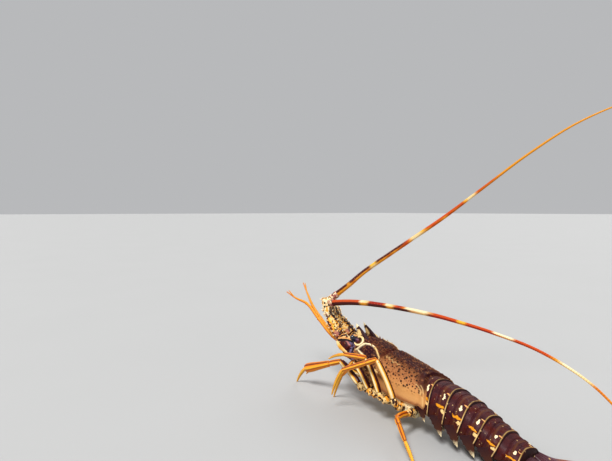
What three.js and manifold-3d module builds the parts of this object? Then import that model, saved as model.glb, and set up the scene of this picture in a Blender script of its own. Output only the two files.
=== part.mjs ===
// European spiny lobster, a still model at life size. Millimetres, +Z up, head towards -X, left towards -Y.
import * as THREE from "three";
import { mergeVertices } from "three/addons/utils/BufferGeometryUtils.js";
import Module from "manifold-3d";

const wasm = await Module();
wasm.setup();

// Fits between neighbouring pieces
const GAP = 0.3;
const HALF_GAP = GAP / 2;
const WELD = 1e-4;
const FLOOR = 0;
const SHINE = 0.6;

// Colours of the plain solids
const COLOURS = {
  shell: 0x9a5a3a,
  belly: 0xd9c3a0,
  eye: 0x10141c,
  antenna: 0xa8391c,
  leg: 0xd98324,
  tail: 0x5a2430,
};

// Shield of the head and thorax, front to back: place, top, lower margin and half width of each section
const CARAPACE_SECTIONS = [
  { x: -118, top: 92.5, belly: 62, half: 20 },
  { x: -113, top: 95, belly: 58, half: 23 },
  { x: -103, top: 96, belly: 53, half: 26.5 },
  { x: -90, top: 94.6, belly: 47.6, half: 29 },
  { x: -77, top: 91.6, belly: 42.2, half: 30.8 },
  { x: -69, top: 88.4, belly: 38.9, half: 31.2 },
  { x: -63, top: 85.8, belly: 38, half: 31 },
  { x: -56, top: 86.6, belly: 38, half: 32.4 },
  { x: -42, top: 84, belly: 38, half: 33.4 },
  { x: -26, top: 80, belly: 38, half: 33.4 },
  { x: -12, top: 75.4, belly: 38, half: 32.4 },
  { x: -5, top: 73, belly: 38, half: 31.8 },
  { x: 0, top: 71, belly: 38, half: 31.2 },
];
const CARAPACE_RADIAL = 30;
const CARAPACE_WIDEST = 0.4;
const BELLY_SQUARENESS = 0.32;
const BELLY_FLATTENING = 1.16;
const FLANK_SQUARENESS = 0.92;
const REAR_BOW = { carapace: 17, somite: 9, half: 30, power: 1.6 };

// Horns over the eyes
const HORN = {
  root: [-101, 9.5, 83],
  tip: [-128.5, 7.6, 111],
  normal: [0.2, 1, 0],
  width: 9.5,
  thickness: 3.8,
  sides: 8,
};

// Teeth along the front edge of each horn: place along it and length
const HORN_TEETH = {
  places: [
    [0.28, 5],
    [0.5, 4.4],
    [0.72, 3.4],
  ],
  root: 0.6,
  rise: 0.25,
  size: { width: 1.9, thickness: 1.2, radial: 5 },
};

// Thorns: length, half width at the root and depth of the root in the shell
const THORNS = {
  large: { length: 6.5, width: 2.2, sink: 2.4 },
  medium: { length: 4.2, width: 1.7, sink: 2 },
  small: { length: 2.6, width: 1.3, sink: 1.6 },
};
const THORN_SIDES = 5;
const THORN_LEAN = 1.1;
const THORN_WAVER = 0.12;
const THORN_DRIFT = 8;
const THORN_HEIGHT = 54;

// Rows of thorns on the shield: first and last place, angle from the crest at both ends, count and size
const CARAPACE_ROWS = [
  { from: -98, to: -70, out: [26, 30], count: 4, thorn: "large" },
  { from: -108, to: -76, out: [52, 56], count: 4, thorn: "medium" },
  { from: -110, to: -84, out: [78, 80], count: 3, thorn: "large" },
  { from: -88, to: -66, out: [10, 12], count: 3, thorn: "small" },
  { from: -55, to: -10, out: [9, 14], count: 6, thorn: "medium" },
  { from: -53, to: -8, out: [30, 36], count: 6, thorn: "small" },
  { from: -52, to: -12, out: [54, 58], count: 5, thorn: "small" },
];

// Thorns of the antennal peduncles: angle from the upper side, first and last place, count and size
const PEDUNCLE_ROWS = [
  [
    { turn: 0, from: 0.3, to: 0.86, count: 3, thorn: "medium" },
    { turn: 62, from: 0.28, to: 0.84, count: 3, thorn: "medium" },
    { turn: 128, from: 0.4, to: 0.84, count: 2, thorn: "small" },
  ],
  [
    { turn: -14, from: 0.16, to: 0.78, count: 3, thorn: "medium" },
    { turn: 48, from: 0.2, to: 0.82, count: 3, thorn: "medium" },
    { turn: 100, from: 0.24, to: 0.76, count: 3, thorn: "small" },
    { turn: 180, from: 0.3, to: 0.8, count: 2, thorn: "small" },
  ],
];

// Plate under the thorax that carries the leg roots
const STERNUM_SECTIONS = [
  { x: -117, top: 64, belly: 49, half: 12 },
  { x: -103, top: 60, belly: 42, half: 17 },
  { x: -78, top: 50, belly: 33, half: 22 },
  { x: -52, top: 46, belly: 25, half: 26 },
  { x: -26, top: 46, belly: 20, half: 27 },
  { x: -3, top: 47, belly: 18, half: 26 },
];
const STERNUM_RADIAL = 18;

// Fused front of the head: epistome and the roots of both antennae
const HEAD_SECTIONS = [
  { x: -150, top: 80, belly: 68, half: 17 },
  { x: -139, top: 83, belly: 64, half: 21.5 },
  { x: -127, top: 85, belly: 60, half: 22 },
  { x: -118.3, top: 87, belly: 56, half: 20 },
];
const HEAD_RADIAL = 20;
const ANTENNA_ROOT = { from: [-128, 13.5, 73] };
const ANTENNA_ROOT_PROFILE = [
  [0, 9.1],
  [0.4, 11.4],
  [1, 9.4],
];

// Rear margin of each abdominal somite: dorsal point, tilt in degrees, depth and half width
const ABDOMEN_SECTIONS = [
  { x: -4, z: 69.4, tilt: 5, depth: 40, half: 28 },
  { x: 18, z: 68.2, tilt: 7, depth: 41, half: 28.4 },
  { x: 43, z: 63.4, tilt: 13, depth: 40, half: 28 },
  { x: 66, z: 55.8, tilt: 20, depth: 37, half: 26.8 },
  { x: 87.5, z: 46.4, tilt: 25, depth: 33, half: 25 },
  { x: 108, z: 36.4, tilt: 26, depth: 28, half: 23 },
  { x: 129, z: 26.4, tilt: 22, depth: 19, half: 21 },
];
const ABDOMEN_RADIAL = 20;
const SOMITE_WIDEST = 0.6;
const SOMITE_GROOVE = 0.28;
const SOMITE_CREST = 0.62;
const SOMITE_SWELL = 0.5;
// Side plates that hang from each somite: reach below it, breadth along the body and sweep to the rear
const PLEURA = [
  { drop: 3, breadth: 6, sweep: 3 },
  { drop: 9, breadth: 9, sweep: 6 },
  { drop: 9, breadth: 9, sweep: 7 },
  { drop: 8, breadth: 9, sweep: 8 },
  { drop: 6, breadth: 8.5, sweep: 9 },
  { drop: 2, breadth: 7, sweep: 9 },
];
const PLEURON = { rise: 12, thickness: 1.7, lean: 1.6, angle: 1.66, place: 0.6, sides: 8 };

// Teeth on the rear edge of each side plate: place from its root and length
const PLEURON_TEETH = {
  places: [
    [0.42, 4.6],
    [0.66, 3.6],
  ],
  fall: 0.8,
  size: { width: 1.8, thickness: 0.9, radial: 5 },
};

// Paired swimmerets under the middle somites, clear of the floor
const SWIMMERETS = {
  somites: [1, 2, 3, 4],
  out: 11,
  rise: 3,
  reach: 13,
  sweep: 7,
  width: 6,
  thickness: 1.4,
  clearance: 3,
};

// Tail fan
const TELSON_SECTIONS = [
  { x: 125.6, top: 21, belly: 11, half: 10.5 },
  { x: 138, top: 16, belly: 6.5, half: 14 },
  { x: 150, top: 10.6, belly: 2.4, half: 17 },
  { x: 161, top: 7, belly: -1, half: 19.5 },
  { x: 176, top: 5, belly: -1, half: 20.5 },
  { x: 188, top: 3.8, belly: -1, half: 17.5 },
  { x: 194, top: 2.8, belly: -1, half: 9 },
];
const TELSON_RADIAL = 18;
const TELSON_FRONT = { slant: 0.49, run: 20, pivot: 5 };
const UROPODS = {
  endopod: { root: [126, 15.4], splay: 15, length: 66, top: 19, half: 14.5, base: 4 },
  exopod: { root: [123, 21.6], splay: 37, length: 65, top: 18, half: 15.5, base: 4.4 },
};
const PADDLE_PROFILE = [
  { at: 0, half: 1, rise: 1, thick: 8 },
  { at: 0.16, half: 1.45, rise: 0.72, thick: 7.4 },
  { at: 0.36, half: 2.5, rise: 0.4, thick: 6.6 },
  { at: 0.56, half: 3.3, rise: 0.27, thick: 6.2 },
  { at: 0.8, half: 3.5, rise: 0.21, thick: 5.2 },
  { at: 0.95, half: 2.6, rise: 0.16, thick: 4.4 },
  { at: 1, half: 1.2, rise: 0.13, thick: 3.8 },
];
const PADDLE_RADIAL = 16;
const PADDLE = { widest: 3.5, lift: 1.4, under: -1, edge: 0.8, crown: 0.9, sole: 0.4 };

// Eyes on short stalks
const EYE = { from: [-118.3, 10.5, 89], to: [-130, 18, 93.5] };
const EYE_PROFILE = [
  [0, 3.2],
  [0.2, 3],
  [0.36, 4.2],
  [0.55, 5.2],
  [0.76, 4.8],
  [0.92, 3],
  [1, 1.2],
];
const EYE_RADIAL = 14;

// Antennae: two peduncle segments, a collar on the last, then a whip in three lengths
const PEDUNCLES = {
  left: [
    [-155, -11, 86],
    [-182, -12, 113],
    [-191.5, -12, 142.5],
  ],
  right: [
    [-155, 11, 86],
    [-188, 8.6, 108.5],
    [-205, 7.4, 134.5],
  ],
};
const PEDUNCLE_PROFILES = [
  [
    [0, 8.6],
    [0.2, 9.2],
    [0.7, 8.9],
    [1, 8.2],
  ],
  [
    [0, 8],
    [0.2, 8.6],
    [0.7, 8.5],
    [0.92, 7.2],
    [1, 4.4],
  ],
];
const PEDUNCLE_RADIAL = 14;
const COLLAR_LENGTH = 18;
const COLLAR_PROFILE = [
  [0, 5.1],
  [0.6, 5.6],
  [1, 4.9],
];
const WHIPS = {
  left: [
    [-172, -12, 136.5],
    [-135, -17.5, 144],
    [-97, -23, 150],
    [-65, -28, 153.6],
    [-32, -33, 156.6],
    [22, -42.6, 160.4],
    [52, -48, 161.8],
    [79, -53, 162],
    [126, -62.4, 161.4],
    [177, -73.4, 157.4],
    [221, -85.6, 145.6],
    [252, -98, 129],
  ],
  right: [
    [-188.5, 10, 146.5],
    [-171.5, 20.5, 163],
    [-158, 32, 179],
    [-119, 59.5, 214.6],
    [-96, 74, 234],
    [-51, 102.4, 272.6],
    [-29, 116, 293],
    [-6, 130, 314.5],
    [44, 161, 361],
    [93, 192, 399],
    [127, 214, 417],
    [158, 233, 428],
  ],
};
const WHIP_BREAKS = [0, 4, 7, 11];
const WHIP_ROOT = 4.5;
const WHIP_TIP = 0.7;
const WHIP_RADIAL = 9;

// Antennules: shaft and one of its two short feelers, which fork at the end
const ANTENNULES = {
  left: [
    [-150.9, -3.4, 70.6],
    [-184, -5, 80.5],
    [-220, -5, 101.6],
    [-254, -5, 121.9],
    [-277, -9, 127],
    [-300, -14, 136],
  ],
  right: [
    [-150.9, 3.4, 70.6],
    [-187, 4.4, 78.6],
    [-226, 4.2, 100.8],
    [-248, 4.5, 117.6],
    [-268, 9, 134],
    [-288, 14, 151],
  ],
};
const ANTENNULE_RADII = [2.5, 2.3, 2.1, 2, 1.5, 0.8];
const ANTENNULE_RADIAL = 8;
const FORK = { angle: 0.42, place: 0.35, length: 13, width: 1.1, sides: 6 };

// Third maxillipeds
const MAXILLIPED = [
  [-105, 8, 41],
  [-119, 10, 39],
  [-137, 12, 43],
  [-154, 12.5, 49],
  [-168, 12, 47],
];
const MAXILLIPED_RADII = [4, 4, 3.6, 2.9, 1.3];
const MAXILLIPED_RADIAL = 9;

// Legs from front to back: root, hip, knee, ankle and toe
const LEGS = {
  left: [
    [[-74, -14, 38], [-91, -28, 30], [-141, -25, 55], [-209, -41, 28.2], [-233, -40, -1]],
    [[-58, -17, 33], [-68, -34, 31], [-99, -37, 69], [-124, -38, 42], [-149, -32, -1]],
    [[-37, -19, 30], [-46, -37.5, 32], [-70.5, -42, 82], [-113, -43.5, 76], [-148, -43, 60.5]],
    [[-22, -20, 27], [-20, -38, 32], [-42, -51, 89], [-100, -59, 60.5], [-117, -63, 21.5]],
    [[-6, -19, 26], [-3, -34, 28], [2, -62, 32], [27.5, -76, 18], [61, -94.5, -1]],
  ],
  right: [
    [[-74, 14, 38], [-91, 28, 30], [-136, 34, 48], [-192, 52, 30], [-210, 59, -1]],
    [[-58, 17, 33], [-68, 34, 31], [-110, 43, 54], [-154, 58, 33], [-170, 65, -1]],
    [[-40, 19, 30], [-49, 37, 31], [-86, 52, 51], [-128, 68, 30], [-145, 76, -1]],
    [[-22, 20, 27], [-20, 38, 31], [-57, 56, 40], [-98, 76, 27], [-114, 85, -1]],
    [[-6, 19, 26], [-3, 34, 27], [5, 52, 27], [35, 66, 15], [68, 80, -1]],
  ],
};
const LEG_GIRTH = [1.16, 1, 1, 1, 0.9];
const COXA_PROFILE = [
  [0, 6.4],
  [0.5, 5.8],
  [0.7, 5.4],
  [1, 4.7],
];
const MERUS_PROFILE = [
  [0, 4],
  [0.18, 3.9],
  [0.55, 3.7],
  [0.86, 3.6],
  [1, 3.2],
];
const SHANK_PROFILE = [
  [0, 3.2],
  [0.12, 3.6],
  [0.28, 3.5],
  [0.34, 3],
  [0.6, 3.1],
  [0.88, 2.7],
  [1, 2.2],
];
const CLAW_SHANK_PROFILE = [
  [0, 3.2],
  [0.12, 3.5],
  [0.26, 3.3],
  [0.34, 3],
  [0.6, 3.8],
  [0.84, 4.4],
  [1, 3.1],
];
const DACTYL_PROFILE = [
  [0, 2.3],
  [0.2, 2.4],
  [0.6, 1.8],
  [1, 0.9],
];
const LEG_RADIAL = 9;

// Spur that closes against the dactyl of the first leg, and the thorn over each knee
const SPUR = { at: 0.76, length: 15, width: 3.4, drop: 0.62, sides: 7 };
const KNEE_ROW = [{ turn: 0, from: 0.93, to: 0.93, count: 1, thorn: "small" }];
const SEED = 20260611;

const SIDES = ["left", "right"];
const FORWARD = new THREE.Vector3(-1, 0, 0);
const vec = (point) => new THREE.Vector3(...point);
const mirrored = ([x, y, z], side) => [x, side === "left" ? -y : y, z];

function solidOf(geometry) {
  const bare = geometry.clone();
  bare.deleteAttribute("normal");
  bare.deleteAttribute("uv");
  const merged = mergeVertices(bare, WELD);
  const mesh = new wasm.Mesh({
    numProp: 3,
    vertProperties: new Float32Array(merged.getAttribute("position").array),
    triVerts: new Uint32Array(merged.index.array),
  });
  return new wasm.Manifold(mesh);
}

function largestBody(solid) {
  return solid.decompose().reduce((best, body) => (body.volume() > best.volume() ? body : best));
}

// A closed skin through the stations: each vertex of a cylinder is moved to where place() puts it
function skin(stations, radial, place) {
  const rings = stations.length - 1;
  const geometry = new THREE.CylinderGeometry(1, 1, 1, radial, rings);
  const position = geometry.getAttribute("position");
  const point = new THREE.Vector3();
  for (let i = 0; i < position.count; i++) {
    point.fromBufferAttribute(position, i);
    const index = Math.round((0.5 - point.y) * rings);
    const onRim = Math.hypot(point.x, point.z) > 0.5;
    const angle = Math.atan2(point.x, point.z);
    point.copy(place(stations[index], onRim ? angle : null, index / rings));
    position.setXYZ(i, point.x, point.y, point.z);
  }
  return solidOf(geometry);
}

const boxed = (value, power) => Math.sign(value) * Math.abs(value) ** power;

// Section of the trunk across X, round above and flatter below; a null angle gives its middle
function trunkPoint(section, angle, grow = 0) {
  const middle = section.belly + (section.top - section.belly) * CARAPACE_WIDEST;
  if (angle === null) return new THREE.Vector3(section.x, 0, middle);
  const side = boxed(Math.sin(angle), FLANK_SQUARENESS) * (section.half + grow);
  const up = Math.cos(angle);
  const rise =
    up > 0
      ? (section.top - middle + grow) * up
      : Math.max(-1, BELLY_FLATTENING * boxed(up, BELLY_SQUARENESS)) * (middle - section.belly + grow);
  return new THREE.Vector3(section.x, side, middle + rise);
}

// Rear margins bow back at the flanks
const bowAt = (y) => (Math.abs(y) / REAR_BOW.half) ** REAR_BOW.power;

function carapacePoint(section, angle, grow = 0) {
  const point = trunkPoint(section, angle, grow);
  const near = THREE.MathUtils.smoothstep(section.x, -32, 0);
  point.x += REAR_BOW.carapace * near * bowAt(point.y);
  return point;
}

function carapaceSkin(grow) {
  return skin(CARAPACE_SECTIONS, CARAPACE_RADIAL, (section, angle) =>
    carapacePoint(section, angle, grow),
  );
}

// A section across the tilted axis of the abdomen, its dorsal point given
function somitePoint(section, angle, grow = 0) {
  const tilt = THREE.MathUtils.degToRad(section.tilt);
  const down = new THREE.Vector3(-Math.sin(tilt), 0, -Math.cos(tilt));
  const point = new THREE.Vector3(section.x, 0, section.z);
  const middle = section.depth * SOMITE_WIDEST;
  if (angle === null) return point.addScaledVector(down, middle);
  const up = Math.cos(angle);
  const reach = up > 0 ? middle + grow : section.depth - middle + grow;
  const fall = up > 0 ? reach * up : reach * Math.max(-1, BELLY_FLATTENING * boxed(up, BELLY_SQUARENESS));
  point.addScaledVector(down, middle - fall);
  point.y = boxed(Math.sin(angle), FLANK_SQUARENESS) * (section.half + grow);
  point.x += REAR_BOW.somite * bowAt(point.y);
  return point;
}

// Sections of one somite between its margins, from the front margin to the rear one
function somiteSections(k, inset) {
  const front = ABDOMEN_SECTIONS[k];
  const back = ABDOMEN_SECTIONS[k + 1];
  const edge = inset / Math.hypot(back.x - front.x, back.z - front.z);
  return [
    [edge, 0],
    [SOMITE_GROOVE, 0],
    [SOMITE_CREST, SOMITE_SWELL],
    [1 - edge, 0],
  ].map(([t, swell]) => {
    const between = (key) => THREE.MathUtils.lerp(front[key], back[key], t);
    return {
      x: between("x"),
      z: between("z") + swell,
      tilt: between("tilt"),
      depth: between("depth") + swell,
      half: between("half") + swell,
    };
  });
}

function somiteSkin(k, inset, grow) {
  return skin(somiteSections(k, inset), ABDOMEN_RADIAL, (section, angle) =>
    somitePoint(section, angle, grow),
  );
}

// One length of a limb between two joints, its end faces lying in the planes of the joints
function limb(from, to, profile, { startFace, endFace, radial, girth = 1, flatness = 1, gaps = [1, 1] }) {
  const start = vec(from);
  const end = vec(to);
  const along = end.clone().sub(start).normalize();
  const across = new THREE.Vector3(0, 0, 1).cross(along).normalize();
  if (across.lengthSq() < 0.5) across.set(0, 1, 0);
  const over = along.clone().cross(across);
  const last = profile.length - 1;
  const stations = profile.map(([at, radius], i) => ({ at, radius: radius * girth, i }));
  return skin(stations, radial, (station, angle) => {
    const centre = start.clone().lerp(end, station.at);
    const face = station.i === 0 ? startFace : station.i === last ? endFace : null;
    const gap = station.i === 0 ? HALF_GAP * gaps[0] : station.i === last ? -HALF_GAP * gaps[1] : 0;
    const off = new THREE.Vector3();
    if (angle !== null) {
      off.addScaledVector(across, Math.sin(angle) * station.radius);
      off.addScaledVector(over, Math.cos(angle) * station.radius * flatness);
    }
    if (face) {
      const slant = along.dot(face);
      off.addScaledVector(along, (gap - off.dot(face)) / slant);
    } else {
      off.addScaledVector(along, gap);
    }
    return centre.add(off);
  });
}

const towards = (a, b) => vec(b).sub(vec(a)).normalize();
const bisector = (a, b, c) => towards(a, b).add(towards(b, c)).normalize();

// A bent limb in one piece through its points
function bentLimb(points, radii, radial, startGap = 0) {
  const last = points.length - 1;
  const stations = points.map((point, i) => {
    const before = points[Math.max(0, i - 1)];
    const after = points[Math.min(last, i + 1)];
    return { centre: vec(point), along: towards(before, after), radius: radii[i], i };
  });
  return skin(stations, radial, (station, angle) => {
    const centre = station.centre.clone();
    if (station.i === 0) centre.addScaledVector(station.along, startGap);
    if (angle === null) return centre;
    const across = new THREE.Vector3(0, 0, 1).cross(station.along).normalize();
    const over = station.along.clone().cross(across);
    centre.addScaledVector(across, Math.sin(angle) * station.radius);
    return centre.addScaledVector(over, Math.cos(angle) * station.radius);
  });
}

// A pointed blade from root to tip, wide across it and flattened along the normal
function blade(base, tip, normal, { width, thickness, radial }) {
  const from = vec(base);
  const along = vec(tip).sub(from);
  const height = along.length();
  along.normalize();
  const wide = along.clone().cross(vec(normal)).normalize();
  const thin = wide.clone().cross(along);
  const geometry = new THREE.ConeGeometry(1, 1, radial).translate(0, 0.5, 0);
  const frame = new THREE.Matrix4().makeBasis(
    wide.multiplyScalar(width),
    along.multiplyScalar(height),
    thin.multiplyScalar(thickness),
  );
  geometry.applyMatrix4(frame.setPosition(from));
  return solidOf(geometry);
}

const spike = (base, tip, width, radial) =>
  blade(base, tip, [0, 1, 0.01], { width, thickness: width, radial });

// Small repeatable waver, so that no two thorns are alike
let randomState = SEED;
function waver() {
  randomState = (Math.imul(randomState, 1664525) + 1013904223) >>> 0;
  return (randomState / 2 ** 31 - 1) * THORN_WAVER;
}

// A thorn that leaves the surface along the normal and leans along the body
function thornAt(point, normal, lean, kind) {
  const { length, width, sink } = THORNS[kind];
  const along = normal.clone().addScaledVector(lean, THORN_LEAN + waver()).normalize();
  const reach = length * (1 + waver());
  const base = point.clone().addScaledVector(normal, -sink);
  const tip = point.clone().addScaledVector(along, reach);
  return blade(base.toArray(), tip.toArray(), [0.1, 1, 0.3], {
    width,
    thickness: width,
    radial: THORN_SIDES,
  });
}

function carapaceAt(x, angle) {
  const after = Math.max(
    1,
    CARAPACE_SECTIONS.findIndex((section) => section.x >= x),
  );
  const [front, back] = CARAPACE_SECTIONS.slice(after - 1, after + 1);
  const t = (x - front.x) / (back.x - front.x);
  const between = (key) => THREE.MathUtils.lerp(front[key], back[key], t);
  return carapacePoint({ x, top: between("top"), belly: between("belly"), half: between("half") }, angle);
}

function carapaceThorn(x, degrees, kind) {
  const angle = THREE.MathUtils.degToRad(degrees);
  const point = carapaceAt(x, angle);
  const step = 0.5;
  const turn = 0.05;
  const along = carapaceAt(x + step, angle).sub(carapaceAt(x - step, angle));
  const around = carapaceAt(x, angle + turn).sub(carapaceAt(x, angle - turn));
  const normal = along.cross(around).normalize();
  const out = new THREE.Vector3(0, point.y, point.z - THORN_HEIGHT);
  if (normal.dot(out) < 0) normal.negate();
  return thornAt(point, normal, FORWARD, kind);
}

// Thorns in rows along one length of a limb
function limbThorns(from, to, radius, rows, side) {
  const start = vec(from);
  const end = vec(to);
  const along = end.clone().sub(start).normalize();
  const across = new THREE.Vector3(0, 0, 1).cross(along).normalize();
  const over = along.clone().cross(across);
  const sign = side === "left" ? 1 : -1;
  return rows.flatMap(({ turn, from: first, to: last, count, thorn }) =>
    Array.from({ length: count }, (_, i) => {
      const angle = THREE.MathUtils.degToRad(turn * sign) + waver();
      const normal = across.clone().multiplyScalar(Math.sin(angle)).addScaledVector(over, Math.cos(angle));
      const at = THREE.MathUtils.lerp(first, last, count > 1 ? i / (count - 1) : 0);
      const point = start.clone().lerp(end, at).addScaledVector(normal, radius);
      return thornAt(point, normal, along, thorn);
    }),
  );
}

const joined = (solid, extras) => extras.reduce((sum, extra) => sum.add(extra), solid);

const root = new THREE.Group();
root.name = "spiny_lobster";

function addNode(name, solid, colour) {
  const body = largestBody(solid).getMesh();
  const geometry = new THREE.BufferGeometry();
  geometry.setAttribute("position", new THREE.BufferAttribute(body.vertProperties, 3));
  geometry.setIndex(new THREE.BufferAttribute(body.triVerts, 1));
  geometry.computeVertexNormals();
  const material = new THREE.MeshStandardMaterial({ color: colour, roughness: SHINE });
  const mesh = new THREE.Mesh(geometry, material);
  mesh.name = name;
  root.add(mesh);
  return mesh;
}

// Trunk
function pleuron(k, side) {
  const plate = PLEURA[k];
  const sign = side === "left" ? -1 : 1;
  const [, groove, crest] = somiteSections(k, HALF_GAP);
  const edge = somitePoint(groove, PLEURON.angle).lerp(somitePoint(crest, PLEURON.angle), PLEURON.place);
  const base = [edge.x - 1, (edge.y - PLEURON.lean) * sign, edge.z];
  const tip = [edge.x + plate.sweep, (edge.y - PLEURON.lean) * sign, edge.z - PLEURON.rise - plate.drop];
  const flap = blade(base, tip, [0, 1, 0], {
    width: plate.breadth,
    thickness: PLEURON.thickness,
    radial: PLEURON.sides,
  });
  const teeth = PLEURON_TEETH.places.map(([at, length]) => {
    const start = vec(base).lerp(vec(tip), at);
    start.x += (plate.breadth * (1 - at)) / 2;
    const end = [start.x + length, start.y, start.z - length * PLEURON_TEETH.fall];
    return blade(start.toArray(), end, [0, 1, 0], PLEURON_TEETH.size);
  });
  return joined(flap, teeth);
}

function swimmeret(k, side) {
  const below = somitePoint(somiteSections(k, HALF_GAP)[2], Math.PI);
  const out = side === "left" ? -SWIMMERETS.out : SWIMMERETS.out;
  const base = [below.x, out, below.z + SWIMMERETS.rise];
  const tip = [below.x + SWIMMERETS.sweep, out, Math.max(SWIMMERETS.clearance, below.z - SWIMMERETS.reach)];
  return blade(base, tip, [1, 0, 0], {
    width: SWIMMERETS.width,
    thickness: SWIMMERETS.thickness,
    radial: PLEURON.sides,
  });
}

const somites = PLEURA.map((_, k) => somiteSkin(k, HALF_GAP, 0));
const somiteNodes = somites.map((somite, k) => {
  const flaps = SIDES.map((side) => pleuron(k, side));
  const limbs = SWIMMERETS.somites.includes(k) ? SIDES.map((side) => swimmeret(k, side)) : [];
  const whole = joined(somite, [...flaps, ...limbs]);
  return k + 1 < PLEURA.length ? whole.subtract(somiteSkin(k + 1, 0, GAP)) : whole;
});
const abdomenRoom = somiteSkin(0, -GAP, GAP).add(somiteSkin(1, -GAP, GAP));
let carapace = carapaceSkin(0).subtract(abdomenRoom);
for (const side of SIDES) {
  const [hornRoot, hornTip] = [HORN.root, HORN.tip].map((point) => mirrored(point, side));
  const horn = blade(hornRoot, hornTip, mirrored(HORN.normal, side), {
    width: HORN.width,
    thickness: HORN.thickness,
    radial: HORN.sides,
  });
  const teeth = HORN_TEETH.places.map(([at, length]) => {
    const start = vec(hornRoot).lerp(vec(hornTip), at);
    const reach = HORN.width * (1 - at) * HORN_TEETH.root + length;
    const end = [start.x - reach, start.y, start.z + length * HORN_TEETH.rise];
    return blade(start.toArray(), end, [0, 1, 0], HORN_TEETH.size);
  });
  const sign = side === "left" ? -1 : 1;
  const thorns = CARAPACE_ROWS.flatMap(({ from, to, out, count, thorn }) =>
    Array.from({ length: count }, (_, i) => {
      const at = i / (count - 1);
      const x = THREE.MathUtils.lerp(from, to, at) + waver() * THORN_DRIFT;
      return carapaceThorn(x, THREE.MathUtils.lerp(...out, at) * sign, thorn);
    }),
  );
  carapace = joined(carapace, [horn, ...teeth, ...thorns]);
}
addNode("carapace", carapace, COLOURS.shell);

// Leg roots are fused to the plate under the thorax
const grownCarapace = carapaceSkin(GAP);
const sternumSkin = (grow) =>
  skin(STERNUM_SECTIONS, STERNUM_RADIAL, (section, angle) => trunkPoint(section, angle, grow));
let sternum = sternumSkin(0);
for (const side of SIDES) {
  LEGS[side].forEach(([hipRoot, hip, knee], i) => {
    const coxa = limb(hipRoot, hip, COXA_PROFILE, {
      endFace: bisector(hipRoot, hip, knee),
      radial: LEG_RADIAL,
      girth: LEG_GIRTH[i],
    });
    sternum = sternum.add(coxa);
  });
}
sternum = sternum.subtract(grownCarapace).subtract(abdomenRoom);
addNode("sternum", sternum, COLOURS.belly);

let head = skin(HEAD_SECTIONS, HEAD_RADIAL, (section, angle) => trunkPoint(section, angle));
for (const side of SIDES) {
  const [base, elbow] = PEDUNCLES[side];
  const stump = limb(mirrored(ANTENNA_ROOT.from, side), base, ANTENNA_ROOT_PROFILE, {
    endFace: towards(base, elbow),
    radial: PEDUNCLE_RADIAL,
  });
  head = head.add(stump);
}
addNode("head_front", head, COLOURS.shell);

somiteNodes.forEach((somite, k) => addNode(`abdomen_${k + 1}`, somite, COLOURS.tail));

// Tail fan, cut level where it lies on the floor
const onFloor = (solid) => solid.trimByPlane([0, 0, 1], FLOOR);
function telsonSkin(grow) {
  return skin(TELSON_SECTIONS, TELSON_RADIAL, (section, angle) => {
    const point = trunkPoint(section, angle, grow);
    const tilt = Math.max(0, 1 - (section.x - TELSON_SECTIONS[0].x) / TELSON_FRONT.run);
    point.x += (point.z - section.belly - TELSON_FRONT.pivot) * TELSON_FRONT.slant * tilt;
    return point;
  });
}
function paddleSkin({ root: [x, y], splay, length, top, half, base }, side, grow) {
  const turn = THREE.MathUtils.degToRad(splay);
  const sign = side === "left" ? -1 : 1;
  const along = new THREE.Vector3(Math.cos(turn), Math.sin(turn), 0);
  const across = new THREE.Vector3(-Math.sin(turn), Math.cos(turn), 0);
  return skin(PADDLE_PROFILE, PADDLE_RADIAL, (station, angle) => {
    const out = new THREE.Vector3(x, y, 0).addScaledVector(along, station.at * length);
    const reach = base + (half - base) * ((station.half - 1) / (PADDLE.widest - 1));
    const upper = top * station.rise + PADDLE.lift;
    const lower = Math.max(PADDLE.under, upper - station.thick);
    const middle = (upper + lower) / 2;
    out.z = middle;
    if (angle !== null) {
      out.addScaledVector(across, boxed(Math.sin(angle), PADDLE.edge) * (reach + grow) * sign);
      const up = Math.cos(angle);
      out.z += boxed(up, up > 0 ? PADDLE.crown : PADDLE.sole) * ((upper - lower) / 2 + grow);
    }
    out.y *= sign;
    return out;
  });
}
const telson = onFloor(telsonSkin(0));
const telsonRoom = telsonSkin(GAP);
const lastSomite = somiteSkin(PLEURA.length - 1, 0, GAP);
addNode("telson", telson.subtract(lastSomite), COLOURS.tail);
for (const side of SIDES) {
  const endopod = paddleSkin(UROPODS.endopod, side, 0).subtract(telsonRoom).subtract(lastSomite);
  const endopodRoom = paddleSkin(UROPODS.endopod, side, GAP);
  const exopod = paddleSkin(UROPODS.exopod, side, 0).subtract(endopodRoom).subtract(telsonRoom);
  addNode(`uropod_inner_${side}`, onFloor(endopod), COLOURS.tail);
  addNode(`uropod_outer_${side}`, onFloor(exopod.subtract(lastSomite)), COLOURS.tail);
}

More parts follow.
